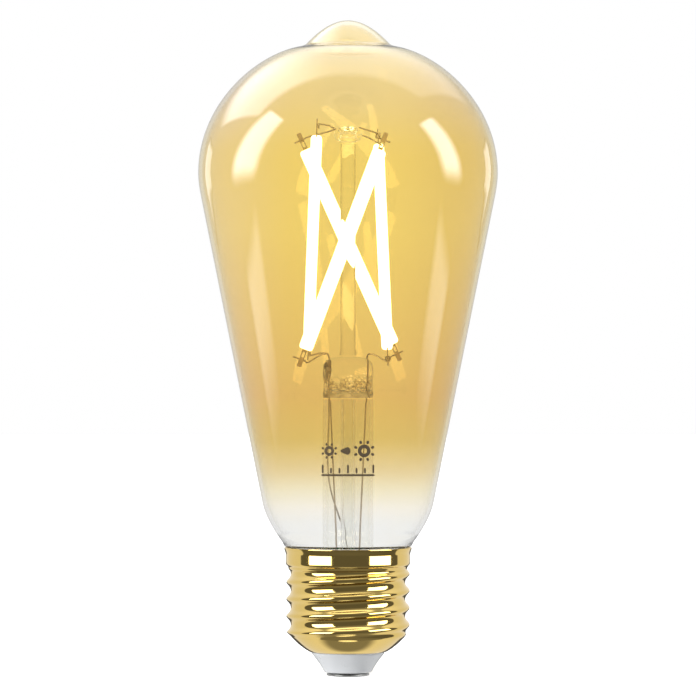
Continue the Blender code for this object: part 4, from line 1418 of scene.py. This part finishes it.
class BULB_OT_wires(bpy.types.Operator):
    """Sweep the lead, link, anchor and supply wires"""

    bl_idname = "bulb.wires"
    bl_label = "Wires"

    def execute(self, context):
        sizes = context.scene.bulb_sizes
        finishes = context.scene.bulb_finishes
        self.radius = sizes.wire_radius / MM
        self.half_tab = sizes.tab_width / MM / 2
        self.thick_tab = sizes.tab_thickness / MM
        self.group = sweep_group()
        steel = drawn_metal("lead_wire", tuple(finishes.steel), 0.24)
        copper = drawn_metal("copper_wire", tuple(finishes.copper), 0.22)
        for name, path in self.glass_routes().items():
            self.sweep(name, path, steel, "lead_wire")
        for name, path in self.cap_routes().items():
            self.sweep(name, path, copper, "copper")
        return {"FINISHED"}

    def sweep(self, node, waypoints, metal, slot):
        """One wire that stands for a frame node."""
        made = run_group(path_mesh(rounded_path(waypoints, 9)), self.group, {
            "Radius": self.radius * MM, "Sides": 14, "Material": metal})
        place_mesh(f"{node}_drawn", made, metal, (node,))

    def tab_side(self, spot, end, heading):
        """A weld's point, the way across its tab nearest a heading, and outward."""
        top, bottom, across, outward, _ = spot
        way = across if across.dot(heading) > 0.0 else -across
        return (top if end == "top" else bottom), way, outward

    def weld_line(self, spot, end, heading, reach_in, reach_out):
        """Three points of a wire crossing the inner face of a tab."""
        point, way, outward = self.tab_side(spot, end, heading)
        point = point - outward * (self.thick_tab / 2 + self.radius + WELD_GAP)
        edge = self.half_tab + self.radius
        return [
            point - way * (edge + reach_in), point - way * edge, point + way * reach_out]

    def hairpin_line(self, spot, end, heading, reach_in, reach_out):
        """Points of a wire bent round the edge of a tab and back."""
        point, way, outward = self.tab_side(spot, end, heading)
        half = self.thick_tab / 2 + self.radius + WELD_GAP
        edge = self.half_tab + 0.1
        return [
            point - outward * half - way * (edge + reach_in),
            point - outward * half - way * edge,
            point - outward * half + way * edge,
            point + way * (edge + half),
            point + outward * half + way * edge,
            point + outward * half - way * edge,
            point + outward * half - way * (edge + reach_out),
        ]

    def lead_rise(self, hole, foot):
        """A lead from the board up through the press."""
        x, y = hole
        low_x, low_y = foot
        return [
            Vector((low_x, low_y, BOARD_TOP + 0.1)),
            Vector((low_x, low_y, BOARD_TOP + 4.0)),
            Vector((low_x, low_y, FLARE_START)),
            Vector((0.93 * x, y, PRESS_LOW.z - 4.0)),
            Vector((x, y, PRESS_LOW.z)),
            Vector((x, y, STEM_TOP - 0.6)),
        ]

    def glass_routes(self):
        """Routes of the steel wires inside the globe."""
        spots = {strip[0]: strip_frame(strip) for strip in STRIPS}
        left = Vector((-1.0, 0.0, 0.0))
        back = Vector((0.0, 1.0, 0.0))
        rise = Vector((0.0, 0.0, 1.0))
        warm, cool, common = LEAD_HOLES
        warm_foot, cool_foot, common_foot = LEAD_FEET
        routes = {}

        weld = self.weld_line(spots["warm_1"], "bottom", back, 0.9, 1.2)
        start = Vector((*warm, STEM_TOP))
        routes["lead_warm"] = self.lead_rise(warm, warm_foot) + [
            start.lerp(weld[0], 0.3) + rise * 0.7] + weld

        weld = self.weld_line(spots["cool_1"], "bottom", left, 0.9, 1.9)
        start = Vector((*cool, STEM_TOP))
        path = self.lead_rise(cool, cool_foot)
        path[3] = Vector((0.97 * cool[0], cool[1], (PRESS_LOW.z + FLARE_START) / 2 - 2.0))
        path.insert(4, Vector((cool[0], cool[1], PRESS_LOW.z - 4.0)))
        routes["lead_cool"] = path + [start.lerp(weld[0], 0.3) + rise * 0.9] + weld

        weld = self.hairpin_line(spots["cool_2"], "bottom", -back, 0.9, 0.9)
        weld += self.weld_line(spots["warm_2"], "bottom", -left, 0.7, 1.4)
        start = Vector((*common, STEM_TOP))
        routes["lead_common"] = self.lead_rise(common, common_foot) + [
            start.lerp(weld[0], 0.3) + rise * 0.8] + weld

        knee = Vector((BUTTON_LOW.x + 0.45, 0.0, BUTTON_TOP - 0.45))
        weld_a = self.weld_line(spots["warm_1"], "top", -back, 0.9, 1.2)
        weld_b = self.weld_line(spots["warm_2"], "top", left, 0.9, 1.7)
        routes["link_warm"] = list(reversed(weld_a)) + [
            knee + Vector((-1.6, -2.4, 0.6)), knee + Vector((-0.3, -0.45, 0.1)), knee,
            knee + Vector((-0.3, 0.45, -0.1)), knee + Vector((-1.6, 1.6, -0.5)),
        ] + weld_b

        weld = self.hairpin_line(spots["cool_2"], "top", back, 0.9, 0.9)
        weld += self.weld_line(spots["cool_1"], "top", -left, 0.7, 1.5)
        start = Vector((2.5, 0.2, BUTTON_TOP - 0.15))
        routes["link_cool"] = [start, start.lerp(weld[0], 0.3)] + weld

        top, _, _, outward, along = spots["cool_1"]
        lug = Vector((BUTTON_HIGH.x + 0.1, 0.0, (BUTTON_LOW.z + BUTTON_TOP) / 2 - 0.2))
        tip = top - along * 1.2 - outward * (self.thick_tab / 2 + 2 * self.radius)
        routes["anchor_wire_cool"] = [lug, lug.lerp(tip, 0.4) + rise * 0.15, tip]
        return routes

    def cap_routes(self):
        """Routes of the two copper supply wires."""
        away = ring_point(1.0, SUPPLY_AZIMUTH, 0.0)
        stand = away * SUPPLY_REACH
        end = away * (SLEEVE_HIGH.x + 0.3 - self.radius - WELD_GAP)
        rise = Vector((0.0, 0.0, 1.0))
        high = SLEEVE_HIGH.z
        return {
            "shell_wire": [
                stand + rise * (BOARD_TOP + 0.1), stand + rise * (BOARD_TOP + 2.0),
                stand + rise * (high - 0.4), stand.lerp(end, 0.45) + rise * (high + 0.7),
                end + rise * (high + 1.1)],
            "contact_wire": [
                rise * (BOARD_LOW.z - 0.1), rise * (CONTACT_HIGH.z - 1.0),
                rise * 0.95],
        }


# -------------------------------------------------------------------- driver


def moved(bm, place, turn=None):
    """Turn a bmesh about the origin, then shift it."""
    if turn is not None:
        bmesh.ops.rotate(bm, matrix=turn, verts=bm.verts)
    bmesh.ops.translate(bm, vec=place, verts=bm.verts)
    return bm


class BULB_OT_driver(bpy.types.Operator):
    """Make the liner, boards and parts inside the cap"""

    bl_idname = "bulb.driver"
    bl_label = "Driver in the cap"

    def execute(self, context):
        finishes = context.scene.bulb_finishes
        self.liner_and_board(tuple(finishes.laminate))
        self.radio()
        self.capacitor()
        self.choke(tuple(finishes.copper), context.scene.bulb_sizes.winding_turns)
        self.chips()
        self.resistor()
        self.solder()
        return {"FINISHED"}

    def liner_and_board(self, lacquer):
        """The plastic liner and the round board held in it."""
        low, high = SLEEVE_LOW.z, SLEEVE_HIGH.z
        outside, wall, edge = SLEEVE_HIGH.x, 0.5, 0.12
        outline = even_line([(outside, low + edge), (outside, high - edge)], 1.0)
        outline += [(outside - edge, high), (outside - wall + edge, high)]
        outline += even_line(
            [(outside - wall, high - edge), (outside - wall, low + edge)], 1.0)
        outline += [(outside - wall + edge, low), (outside - edge, low)]
        make_piece(
            "liner", lathe(outline, ROUND),
            dull_solid("liner_plastic", (0.85, 0.84, 0.79), 0.5, 700.0, 0.01, 0.93),
            ("driver_sleeve",))

        low, high, reach, edge = BOARD_LOW.z, BOARD_HIGH.z, BOARD_HIGH.x, 0.06
        outline = [(0.0, low)] + even_line([(1.0, low), (reach - edge, low)], 1.5)
        outline += [(reach, low + edge), (reach, high - edge)]
        outline += even_line([(reach - edge, high), (1.0, high)], 1.5) + [(0.0, high)]
        make_piece(
            "round_board", lathe(outline, ROUND),
            laminate(
                "round_laminate", lacquer, tuple(2.0 * c + 0.04 for c in lacquer), (0, 1)),
            ("driver_board",))

    def radio(self):
        """The upright radio board and its tin shield."""
        low, high = span("radio_module")
        make_piece(
            "radio_board", box_bm((low + high) / 2, high - low, 0.06),
            laminate("radio_laminate", (0.02, 0.05, 0.12), (0.62, 0.47, 0.2), (0, 2)),
            ("radio_module",))
        low, high = span("radio_shield")
        make_piece(
            "shield_can", box_bm((low + high) / 2, high - low, 0.2),
            drawn_metal("tin_shield", (0.72, 0.72, 0.73), 0.28),
            ("radio_shield",))

    def capacitor(self):
        """The bulk capacitor with its crimp and scored top."""
        low, high = span("bulk_capacitor")
        radius, foot, top = (high.x - low.x) / 2, low.z, high.z
        outline = extend(
            [(0.0, foot + 0.15), (radius - 0.55, foot + 0.15), (radius - 0.4, foot)],
            ((radius, foot), (radius, foot + 0.1), (radius, foot + 0.3), 5))
        outline += bezier(
            (radius, foot + 0.6), (radius, foot + 0.8), (radius - 0.3, foot + 0.8),
            (radius - 0.3, foot + 1.0), 6)
        extend(outline, (
            (radius - 0.3, foot + 1.2), (radius, foot + 1.2), (radius, foot + 1.4), 6))
        outline += even_line([(radius, foot + 1.5), (radius, top - 0.4)], 0.8)
        extend(
            outline, ((radius, top), (radius - 0.1, top), (radius - 0.4, top), 6),
            (radius - 0.6, top - 0.12), (0.0, top - 0.12))
        middle = (low + high) / 2
        make_piece(
            "can_capacitor",
            moved(lathe(outline, SMALL_ROUND), Vector((middle.x, middle.y, 0.0))),
            capacitor_sleeve(middle, radius, top), ("bulk_capacitor",))

    def choke(self, copper, turns):
        """The ferrite bobbin and its copper winding."""
        low, high = span("inductor_core")
        wire_low, wire_high = span("inductor_winding")
        middle = (low + high) / 2
        radius = (high.x - low.x) / 2
        flange, waist, edge = wire_low.z - low.z - 0.1, 1.25, 0.12
        outline = [(0.0, low.z), (radius - edge, low.z), (radius, low.z + edge)]
        outline += [(radius, low.z + flange - edge), (radius - edge, low.z + flange)]
        outline += [(waist, low.z + flange), (waist, high.z - flange)]
        outline += [(radius - edge, high.z - flange), (radius, high.z - flange + edge)]
        outline += [(radius, high.z - edge), (radius - edge, high.z)]
        outline += [(0.7, high.z), (0.5, high.z - 0.15), (0.0, high.z - 0.15)]
        base = Vector((middle.x, middle.y, 0.0))
        make_piece(
            "ferrite_bobbin", moved(lathe(outline, SMALL_ROUND), base),
            dull_solid("ferrite", (0.06, 0.06, 0.065), 0.55, 900.0, 0.03),
            ("inductor_core",))

        strand = 0.13
        reach = (wire_high.x - wire_low.x) / 2
        inner, outer = waist + 0.1, reach - 1.4 * strand
        foot, top = wire_low.z + 0.02, wire_high.z - 0.02
        outline = [(inner, foot), (outer, foot), (outer, top), (inner, top)]
        mesh = metre_mesh("winding_bed", moved(lathe(outline, SMALL_ROUND), base))
        metal = drawn_metal("enamelled_copper", copper, 0.2)
        height = top - foot - 2.4 * strand
        made = run_group(mesh, coil_group(), {
            "Turns": float(turns), "Coil Radius": (reach - strand) * MM,
            "Height": height * MM, "Wire Radius": strand * MM,
            "Offset": tuple(Vector((middle.x, middle.y, foot + 1.2 * strand)) * MM),
            "Material": metal})
        place_mesh("copper_coil", made, metal, ("inductor_winding",))

    def chips(self):
        """The rectifier and the driver chip under the board, with their legs."""
        legs = bmesh.new()
        for node, name, count in (
            ("bridge_rectifier", "rectifier_body", 2), ("driver_chip", "chip_body", 4),
        ):
            low, high = span(node)
            middle, size = (low + high) / 2, high - low
            body = box_bm(middle, size, 0.16)
            dimple = Vector((low.x + 0.7, low.y + 0.7, low.z))
            for vert in body.verts:
                if (vert.co - dimple).length < 0.3:
                    vert.co.z += 0.05
            make_piece(
                name, body, dull_solid(f"{name}_epoxy", (0.03, 0.03, 0.034), 0.45, 2400.0, 0.01),
                (node,), smooth=False)
            tall = BOARD_LOW.z - 0.03 - middle.z
            for index in range(count):
                across = middle.x + size.x * ((index + 0.5) / count - 0.5) * 0.9
                for way in (-1.0, 1.0):
                    place = Vector((
                        across, middle.y + way * (size.y / 2 + 0.16), middle.z + tall / 2))
                    join_bm(legs, box_bm(place, Vector((0.42, 0.2, tall)), 0.05))
        make_piece("chip_legs", legs, drawn_metal("tinned_leg", (0.7, 0.7, 0.71), 0.26))

    def resistor(self):
        """The fusible resistor lying on the board."""
        low, high = span("fusible_resistor")
        middle, half = (low + high) / 2, (high.x - low.x) / 2
        radius = (high.z - low.z) / 2
        outline = [(0.0, -half), (0.5 * radius, -half)]
        outline += bezier(
            (0.5 * radius, -half), (radius, -half), (radius, -half + 0.4),
            (radius, -half + 0.7), 8)
        outline += bezier(
            (radius, -half + 1.0), (0.86 * radius, -half + 1.3),
            (0.86 * radius, half - 1.3), (radius, half - 1.0), 10)
        outline += bezier(
            (radius, half - 0.7), (radius, half - 0.4), (radius, half),
            (0.5 * radius, half), 8)
        outline += [(0.0, half)]
        turn = Matrix.Rotation(math.radians(90.0), 3, "Y")
        make_piece(
            "banded_resistor", moved(lathe(outline, SMALL_ROUND), middle, turn),
            banded_paint(middle.x, half), ("fusible_resistor",))

    def solder(self):
        """A fillet round each wire where it meets the board."""
        feet = [Vector((x, y, 0.0)) for x, y in LEAD_FEET]
        feet.append(ring_point(SUPPLY_REACH, SUPPLY_AZIMUTH, 0.0))
        level = BOARD_TOP + 0.02
        outline = [(0.25, level), (0.6, level)] + bezier(
            (0.6, level), (0.4, level + 0.06), (0.32, level + 0.2), (0.28, level + 0.4), 6)
        outline.append((0.25, level + 0.4))
        joints = bmesh.new()
        for foot in feet:
            join_bm(joints, moved(lathe(outline, 24), foot))
        make_piece("solder_joints", joints, drawn_metal("solder", (0.68, 0.68, 0.7), 0.22))


# --------------------------------------------------------------------- stage


class BULB_OT_stage(bpy.types.Operator):
    """Set the floor, the studio light and the camera"""

    bl_idname = "bulb.stage"
    bl_label = "Stage"

    def execute(self, context):
        settings = context.scene.bulb_stage
        self.floor(settings)
        self.panels(settings)
        self.studio(context.scene, settings)
        self.camera(context.scene, settings)
        context.scene.view_settings.view_transform = "Standard"
        context.scene.cycles.max_bounces = GLASS_BOUNCES
        context.scene.cycles.transmission_bounces = GLASS_BOUNCES
        context.scene.cycles.glossy_bounces = MIRROR_BOUNCES
        return {"FINISHED"}

    def floor(self, settings):
        """A round pale floor under the contact."""
        bm = bmesh.new()
        bmesh.ops.create_circle(bm, cap_ends=True, segments=96, radius=settings.floor_radius)
        mesh = bpy.data.meshes.new("floor")
        bm.to_mesh(mesh)
        bm.free()

        def shade(tree):
            paper = tree.noise(30.0)
            return {
                "Base Color": tree.mix(paper, (0.86, 0.86, 0.86), (0.88, 0.88, 0.88)),
                "Roughness": 0.9, "Emission Color": (1.0, 1.0, 1.0), "Emission Strength": 0.6,
            }
        mesh.materials.append(make_material("pale_floor", shade))
        floor = bpy.data.objects.new("floor", mesh)
        floor.visible_glossy = False
        floor.visible_diffuse = False
        floor.visible_transmission = False
        bpy.context.scene.collection.objects.link(floor)

    def bounced(self, tree):
        """1 once light has been reflected, for whatever kind of surface."""
        return tree.math("MINIMUM", tree.add("ShaderNodeLightPath", output="Glossy Depth"), 1.0)

    def inside(self, tree):
        """1 once light has passed through glass."""
        depth = tree.add("ShaderNodeLightPath", output="Transmission Depth")
        return tree.math("MINIMUM", depth, 1.0)

    def box_mask(self, tree, value, low, high, soft):
        """Soft-edged band of a value."""
        rise = tree.step(value, low - soft, low + soft)
        fall = tree.step(value, high - soft, high + soft)
        return rise * (1.0 - fall)

    def panels(self, settings):
        """Softboxes beside and behind the bulb that only clear glass mirrors."""
        reach = 0.35
        side = ((-0.42, -0.30), (0.42, -0.30), (0.42, 0.65), (-0.42, 0.65))
        for name, corners, mask in (
            ("left_softbox", [(-reach, u, v) for u, v in side], self.side_mask(0.070, 0.46)),
            ("right_softbox", [(reach, u, v) for u, v in side], self.side_mask(0.052, 0.40)),
            ("rear_softbox", [(1.4 * u, reach, v) for u, v in side], self.rear_mask()),
        ):
            mesh = bpy.data.meshes.new(name)
            mesh.from_pydata(corners, [], [(0, 1, 2, 3)])
            made = bpy.data.materials.new(name)
            made.use_nodes = True
            made.node_tree.nodes.clear()
            made.cycles.emission_sampling = "NONE"
            tree = Tree(made.node_tree)
            lit = self.bounced(tree) * tree.add("ShaderNodeLightPath", output="Is Singular Ray")
            lit = lit * (1.0 - self.inside(tree))
            level = mask(tree) * settings.glass_softbox
            glow = tree.add(
                "ShaderNodeEmission", None, {"Color": (1.0, 1.0, 1.0), "Strength": level})
            clear = tree.add("ShaderNodeBsdfTransparent")
            visible = lit * tree.step(level, 0.0, 0.2)
            shader = tree.add("ShaderNodeMixShader", None, {0: visible, 1: clear, 2: glow})
            tree.add("ShaderNodeOutputMaterial", None, {"Surface": shader})
            mesh.materials.append(made)
            panel = bpy.data.objects.new(name, mesh)
            panel.visible_camera = False
            panel.visible_diffuse = False
            panel.visible_shadow = False
            bpy.context.scene.collection.objects.link(panel)

    def side_mask(self, half, top):
        """A tall leaning softbox over a low one."""
        def mask(tree):
            _, y, z = tree.axes(tree.place())
            lean = y + 0.022 + (z - 0.02) * 0.2307
            high = self.box_mask(tree, lean, -half, half, 0.028)
            high = high * tree.step(z, 0.03, 0.15) * (1.0 - tree.step(z, top - 0.03, top))
            low = self.box_mask(tree, y, -0.078, 0.050, 0.022)
            low = low * tree.step(z, -0.060, -0.012) * (1.0 - tree.step(z, -0.002, 0.012))
            return high + low * 0.25
        return mask

    def rear_mask(self):
        """A narrow softbox behind each flank."""
        def mask(tree):
            x, _, z = tree.axes(tree.place())
            far = tree.math("ABSOLUTE", x)
            strip = self.box_mask(tree, far, 0.300, 0.440, 0.012)
            return strip * self.box_mask(tree, z, 0.055, 0.205, 0.015) * 0.2
        return mask

    def studio(self, scene, settings):
        """White surroundings, with softboxes for whatever reflects."""
        world = bpy.data.worlds.new("studio")
        world.use_nodes = True
        scene.world = world
        tree = Tree(world.node_tree)
        world.node_tree.nodes.clear()
        way = tree.add("ShaderNodeTexCoord", output="Generated")
        x, y, z = tree.axes(way)
        degrees = 180.0 / math.pi
        azimuth = tree.math("ARCTAN2", x, -y) * degrees
        elevation = tree.math("ARCSINE", z) * degrees

        # What the polished cap mirrors: dark behind the camera, a softbox each side.
        metal = 1.0 - self.box_mask(tree, azimuth, *DARK_FRONT, 1.5) * 0.85
        upper = self.box_mask(tree, elevation, *SOFTBOX_RISE, 2.0)
        left = self.box_mask(tree, azimuth, *LEFT_SOFTBOX, 1.0)
        right = self.box_mask(tree, azimuth, *RIGHT_SOFTBOX, 1.0)
        lift = tree.step(elevation, 20.0, 70.0) * 0.4 + tree.step(-elevation, 25.0, 60.0) * 0.1
        metal = metal + lift + (left + right) * upper * settings.softbox
        metal = metal + tree.step(elevation, *OVERHEAD_RING) * 2.2
        behind = tree.math("ABSOLUTE", azimuth)
        edge = self.box_mask(tree, elevation, *BACK_EDGE_RISE, 1.5)
        edge = tree.step(behind, *BACK_EDGE) * edge
        metal = metal * (1.0 - edge * 0.9)
        below = tree.step(-elevation, *UNDERSIDE) * tree.step(behind, *SIDE_TURN)
        metal = metal * (1.0 - below) + below * 0.32
        gleam = tree.step(-elevation, *GLEAM) * (1.0 - tree.step(behind, *SIDE_TURN))
        metal = metal * (1.0 - gleam) + gleam * 2.0

        # What the clear glass mirrors: a broad light above and behind.
        rise = tree.math("MAXIMUM", z, 0.02)
        over_x = x / rise
        over_y = y / rise
        front = tree.step(over_y, 0.0, 0.16)
        near = tree.step(over_x + over_y * 0.46, -1.35, -1.15)
        far = 1.0 - tree.step(over_x - over_y * 0.32, 0.68, 0.82)
        ceiling = front * near * far * tree.step(z, 0.1, 0.2)
        glass = 0.12 + tree.step(behind, 70.0, 150.0) * 0.5
        crown = (1.0 - tree.step(over_y, 0.9, 2.2)) * settings.overhead
        crown = crown * (1.0 + tree.step(-x, 0.1, 0.5) * 1.5 - tree.step(x, 0.1, 0.6) * 0.35)
        ceiling_level = 0.55 + crown
        glass = glass * (1.0 - ceiling) + ceiling * ceiling_level
        inside = self.inside(tree)
        glass = glass * (1.0 - inside) + inside * settings.inner_level
        metal = metal * (1.0 - inside) + inside * (settings.inner_level * INNER_METAL)

        singular = tree.add("ShaderNodeLightPath", output="Is Singular Ray")
        diffuse = tree.add("ShaderNodeLightPath", output="Is Diffuse Ray")
        mirrored = metal * (1.0 - singular) + glass * singular
        mirrored = mirrored * (1.0 - diffuse) + diffuse * settings.fill
        seen = tree.math("MAXIMUM", self.bounced(tree), diffuse)
        shade = tree.add("ShaderNodeBackground", None, {
            "Color": (1.0, 1.0, 1.0), "Strength": 1.0 * (1.0 - seen) + mirrored * seen})
        tree.add("ShaderNodeOutputWorld", None, {"Surface": shade})

        lamp = bpy.data.lights.new("key_light", "AREA")
        lamp.size = 0.5
        lamp.energy = settings.key
        key = bpy.data.objects.new("key_light", lamp)
        key.location = (-0.7, -0.7, 0.45)
        key.rotation_euler = (Vector((0.0, 0.0, 0.05)) - key.location).to_track_quat(
            "-Z", "Y").to_euler()
        key.visible_glossy = False
        key.visible_camera = False
        key.visible_transmission = False
        scene.collection.objects.link(key)

    def camera(self, scene, settings):
        """A long lens level with the middle of the bulb."""
        data = bpy.data.cameras.new("camera")
        data.sensor_width = SENSOR_MM
        data.lens = SENSOR_MM / 2 * settings.camera_distance / settings.half_frame
        data.clip_start = 0.05
        data.clip_end = 20.0
        camera = bpy.data.objects.new("camera", data)
        middle = (CAD_LOW.z + CAD_HIGH.z) / 2
        camera.location = (0.0, -settings.camera_distance, middle)
        camera.rotation_euler = (math.radians(90.0), 0.0, 0.0)
        scene.collection.objects.link(camera)
        scene.camera = camera


class BULB_PT_panel(bpy.types.Panel):
    """Sizes, finishes and steps of the bulb"""

    bl_idname = "BULB_PT_panel"
    bl_label = "Filament smart bulb"
    bl_space_type = "VIEW_3D"
    bl_region_type = "UI"
    bl_category = "Bulb"

    def draw(self, context):
        for group in ("bulb_sizes", "bulb_finishes", "bulb_stage"):
            settings = getattr(context.scene, group)
            box = self.layout.box()
            for key in settings.bl_rna.properties.keys():
                if key not in ("rna_type", "name"):
                    box.prop(settings, key)
        for step in STEPS:
            self.layout.operator(step.bl_idname)


GROUPS = (
    ("bulb_sizes", BulbSizes), ("bulb_finishes", BulbFinishes), ("bulb_stage", StageSettings))
STEPS = (
    BULB_OT_globe, BULB_OT_mark, BULB_OT_shell, BULB_OT_cap_end, BULB_OT_stem,
    BULB_OT_strips, BULB_OT_tabs, BULB_OT_wires, BULB_OT_driver, BULB_OT_stage)


def register():
    for _, group in GROUPS:
        bpy.utils.register_class(group)
    for step in STEPS + (BULB_PT_panel,):
        bpy.utils.register_class(step)
    for name, group in GROUPS:
        setattr(bpy.types.Scene, name, PointerProperty(type=group))


def unregister():
    for name, _ in GROUPS:
        delattr(bpy.types.Scene, name)
    for step in reversed(STEPS + (BULB_PT_panel,)):
        bpy.utils.unregister_class(step)
    for _, group in reversed(GROUPS):
        bpy.utils.unregister_class(group)


def main():
    register()
    for step in STEPS:
        family, action = step.bl_idname.split(".")
        done = getattr(getattr(bpy.ops, family), action)()
        if done != {"FINISHED"}:
            raise RuntimeError(f"{step.bl_label} did not finish")


if __name__ == "__main__":
    main()
